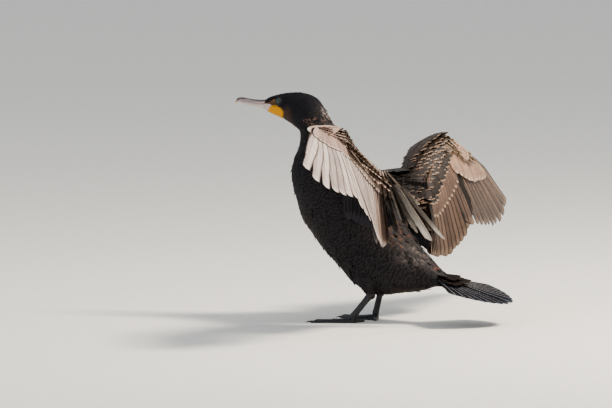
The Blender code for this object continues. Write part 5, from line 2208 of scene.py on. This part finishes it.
@dataclass
class Studio:
    """Pale floor, soft light and the camera at the photograph's angle.

    The scale is in millimetres a pixel of the photograph. The ground is the pixel
    where the middle of the bird's frame falls, and the distance is in metres.
    """

    azimuth: float = math.radians(22)
    elevation: float = math.radians(5)
    scale: float = 1.76
    ground: Pair = (366.6, 321.0)
    image: tuple[int, int] = (612, 408)
    distance: float = 32.0
    sensor: float = 36.0
    # Lamps: steps right, up and back from the bird, size, power and colour.
    lamps: tuple[tuple[str, Point, float, float, str], ...] = (
        ("key", (1.7, 2.3, 0.7), 0.7, 125, "#fff1df"),
        ("fill", (-2.0, 1.2, 2.2), 2.4, 20, "#eef2fb"),
        ("rim", (1.8, 2.0, -1.0), 1.4, 12, "#fff6ea"),
    )
    aim: Point = (0.0, 0.0, 0.2)
    sky: str = "#dfe2e4"
    sky_strength: float = 0.75
    floor_radius: float = 300.0

    def axes(self) -> tuple[Vector, Vector, Vector]:
        """The picture's right and up, and the way back to the camera."""
        a, e = self.azimuth, self.elevation
        back = Vector((math.sin(a) * math.cos(e), -math.cos(a) * math.cos(e), math.sin(e)))
        right = Vector((math.cos(a), math.sin(a), 0))
        return right, back.cross(right), back

    def build_camera(self) -> None:
        """Camera that looks at the middle of the photograph's frame."""
        right, up, back = self.axes()
        across = (self.image[0] / 2 - self.ground[0]) * self.scale
        above = (self.ground[1] - self.image[1] / 2) * self.scale
        target = (right * across + up * above) * MM - OFFSET
        data = bpy.data.cameras.new("camera")
        camera = bpy.data.objects.new("camera", data)
        data.sensor_width = self.sensor
        data.lens = self.sensor * self.distance / (self.image[0] * self.scale * MM)
        # Far enough for the floor's rim.
        data.clip_end = 2000
        turned = Matrix((right, up, back)).transposed().to_4x4()
        camera.matrix_world = Matrix.Translation(target + back * self.distance) @ turned
        bpy.context.scene.collection.objects.link(camera)
        bpy.context.scene.camera = camera

    def build_light(self) -> None:
        """Warm key light high on the right, cool fill, weak rim light and an even pale sky."""
        scene = bpy.context.scene
        for name, steps, size, power, colour in self.lamps:
            data = bpy.data.lights.new(name, "AREA")
            data.size = size
            data.energy = power
            data.color = linear(colour)[:3]
            light = bpy.data.objects.new(name, data)
            place = sum((axis * step for axis, step in zip(self.axes(), steps)), Vector())
            light.location = Vector(self.aim) + place
            light.rotation_mode = "QUATERNION"
            light.rotation_quaternion = place.to_track_quat("Z", "Y")
            light.visible_camera = False
            scene.collection.objects.link(light)
        world = bpy.data.worlds.new("pale sky")
        world.use_nodes = True
        background = world.node_tree.nodes["Background"]
        background.inputs["Color"].default_value = linear(self.sky)
        background.inputs["Strength"].default_value = self.sky_strength
        scene.world = world
        scene.view_settings.view_transform = "AgX"
        scene.view_settings.look = "AgX - Medium High Contrast"

    def build_floor(self) -> None:
        """Wide pale floor with a faint grain."""
        shape = bmesh.new()
        bmesh.ops.create_circle(shape, cap_ends=True, segments=96, radius=self.floor_radius)
        mesh = bpy.data.meshes.new("floor")
        shape.to_mesh(mesh)
        shape.free()
        # Even and matt, so that nothing draws the eye from the bird.
        finish = SkinFinish(
            "Floor, pale matt paint, rolled", dark="#e9e8e4", light="#efeeea", cell=8.0, roughness=0.75,
            groove=0.0,
        ).build()
        mesh.materials.append(finish)
        floor = bpy.data.objects.new("floor", mesh)
        bpy.context.scene.collection.objects.link(floor)


def main() -> None:
    """Build the bird piece by piece, then the studio."""
    logging.basicConfig(level=logging.INFO, format="%(name)s: %(message)s")
    under = SKIN_UNDER.build()
    body = BODY_FEATHER.build()
    trunk = Trunk()
    trunk.build_skin(under)
    trunk.build_coat(body, HEAD_FEATHER.build())
    WingDress(PLANS[Side.LEFT], NEAR_FLIGHT, NEAR_TERTIAL, NEAR_HAND_COVERT, NEAR_COVERT, NEAR_SMALL,
              NEAR_SHAFT, 21).build(under, body)
    WingDress(PLANS[Side.RIGHT], FAR_FLIGHT, FAR_TERTIAL, FAR_HAND_COVERT, FAR_COVERT, FAR_SMALL,
              FAR_SHAFT, 22).build(under, body)
    TailFan().build()
    Bill().build()
    lid = LID_SKIN.build()
    foot = [finish.build() for finish in (SCALE_SKIN, WEB_SKIN, CLAW_HORN)]
    for side, seed in ((Side.LEFT, 40), (Side.RIGHT, 42)):
        EyeSet(side).build(lid)
        Leg(side, seed, under, body, *foot).build()
    studio = Studio()
    studio.build_camera()
    studio.build_light()
    studio.build_floor()


if __name__ == "__main__":
    main()
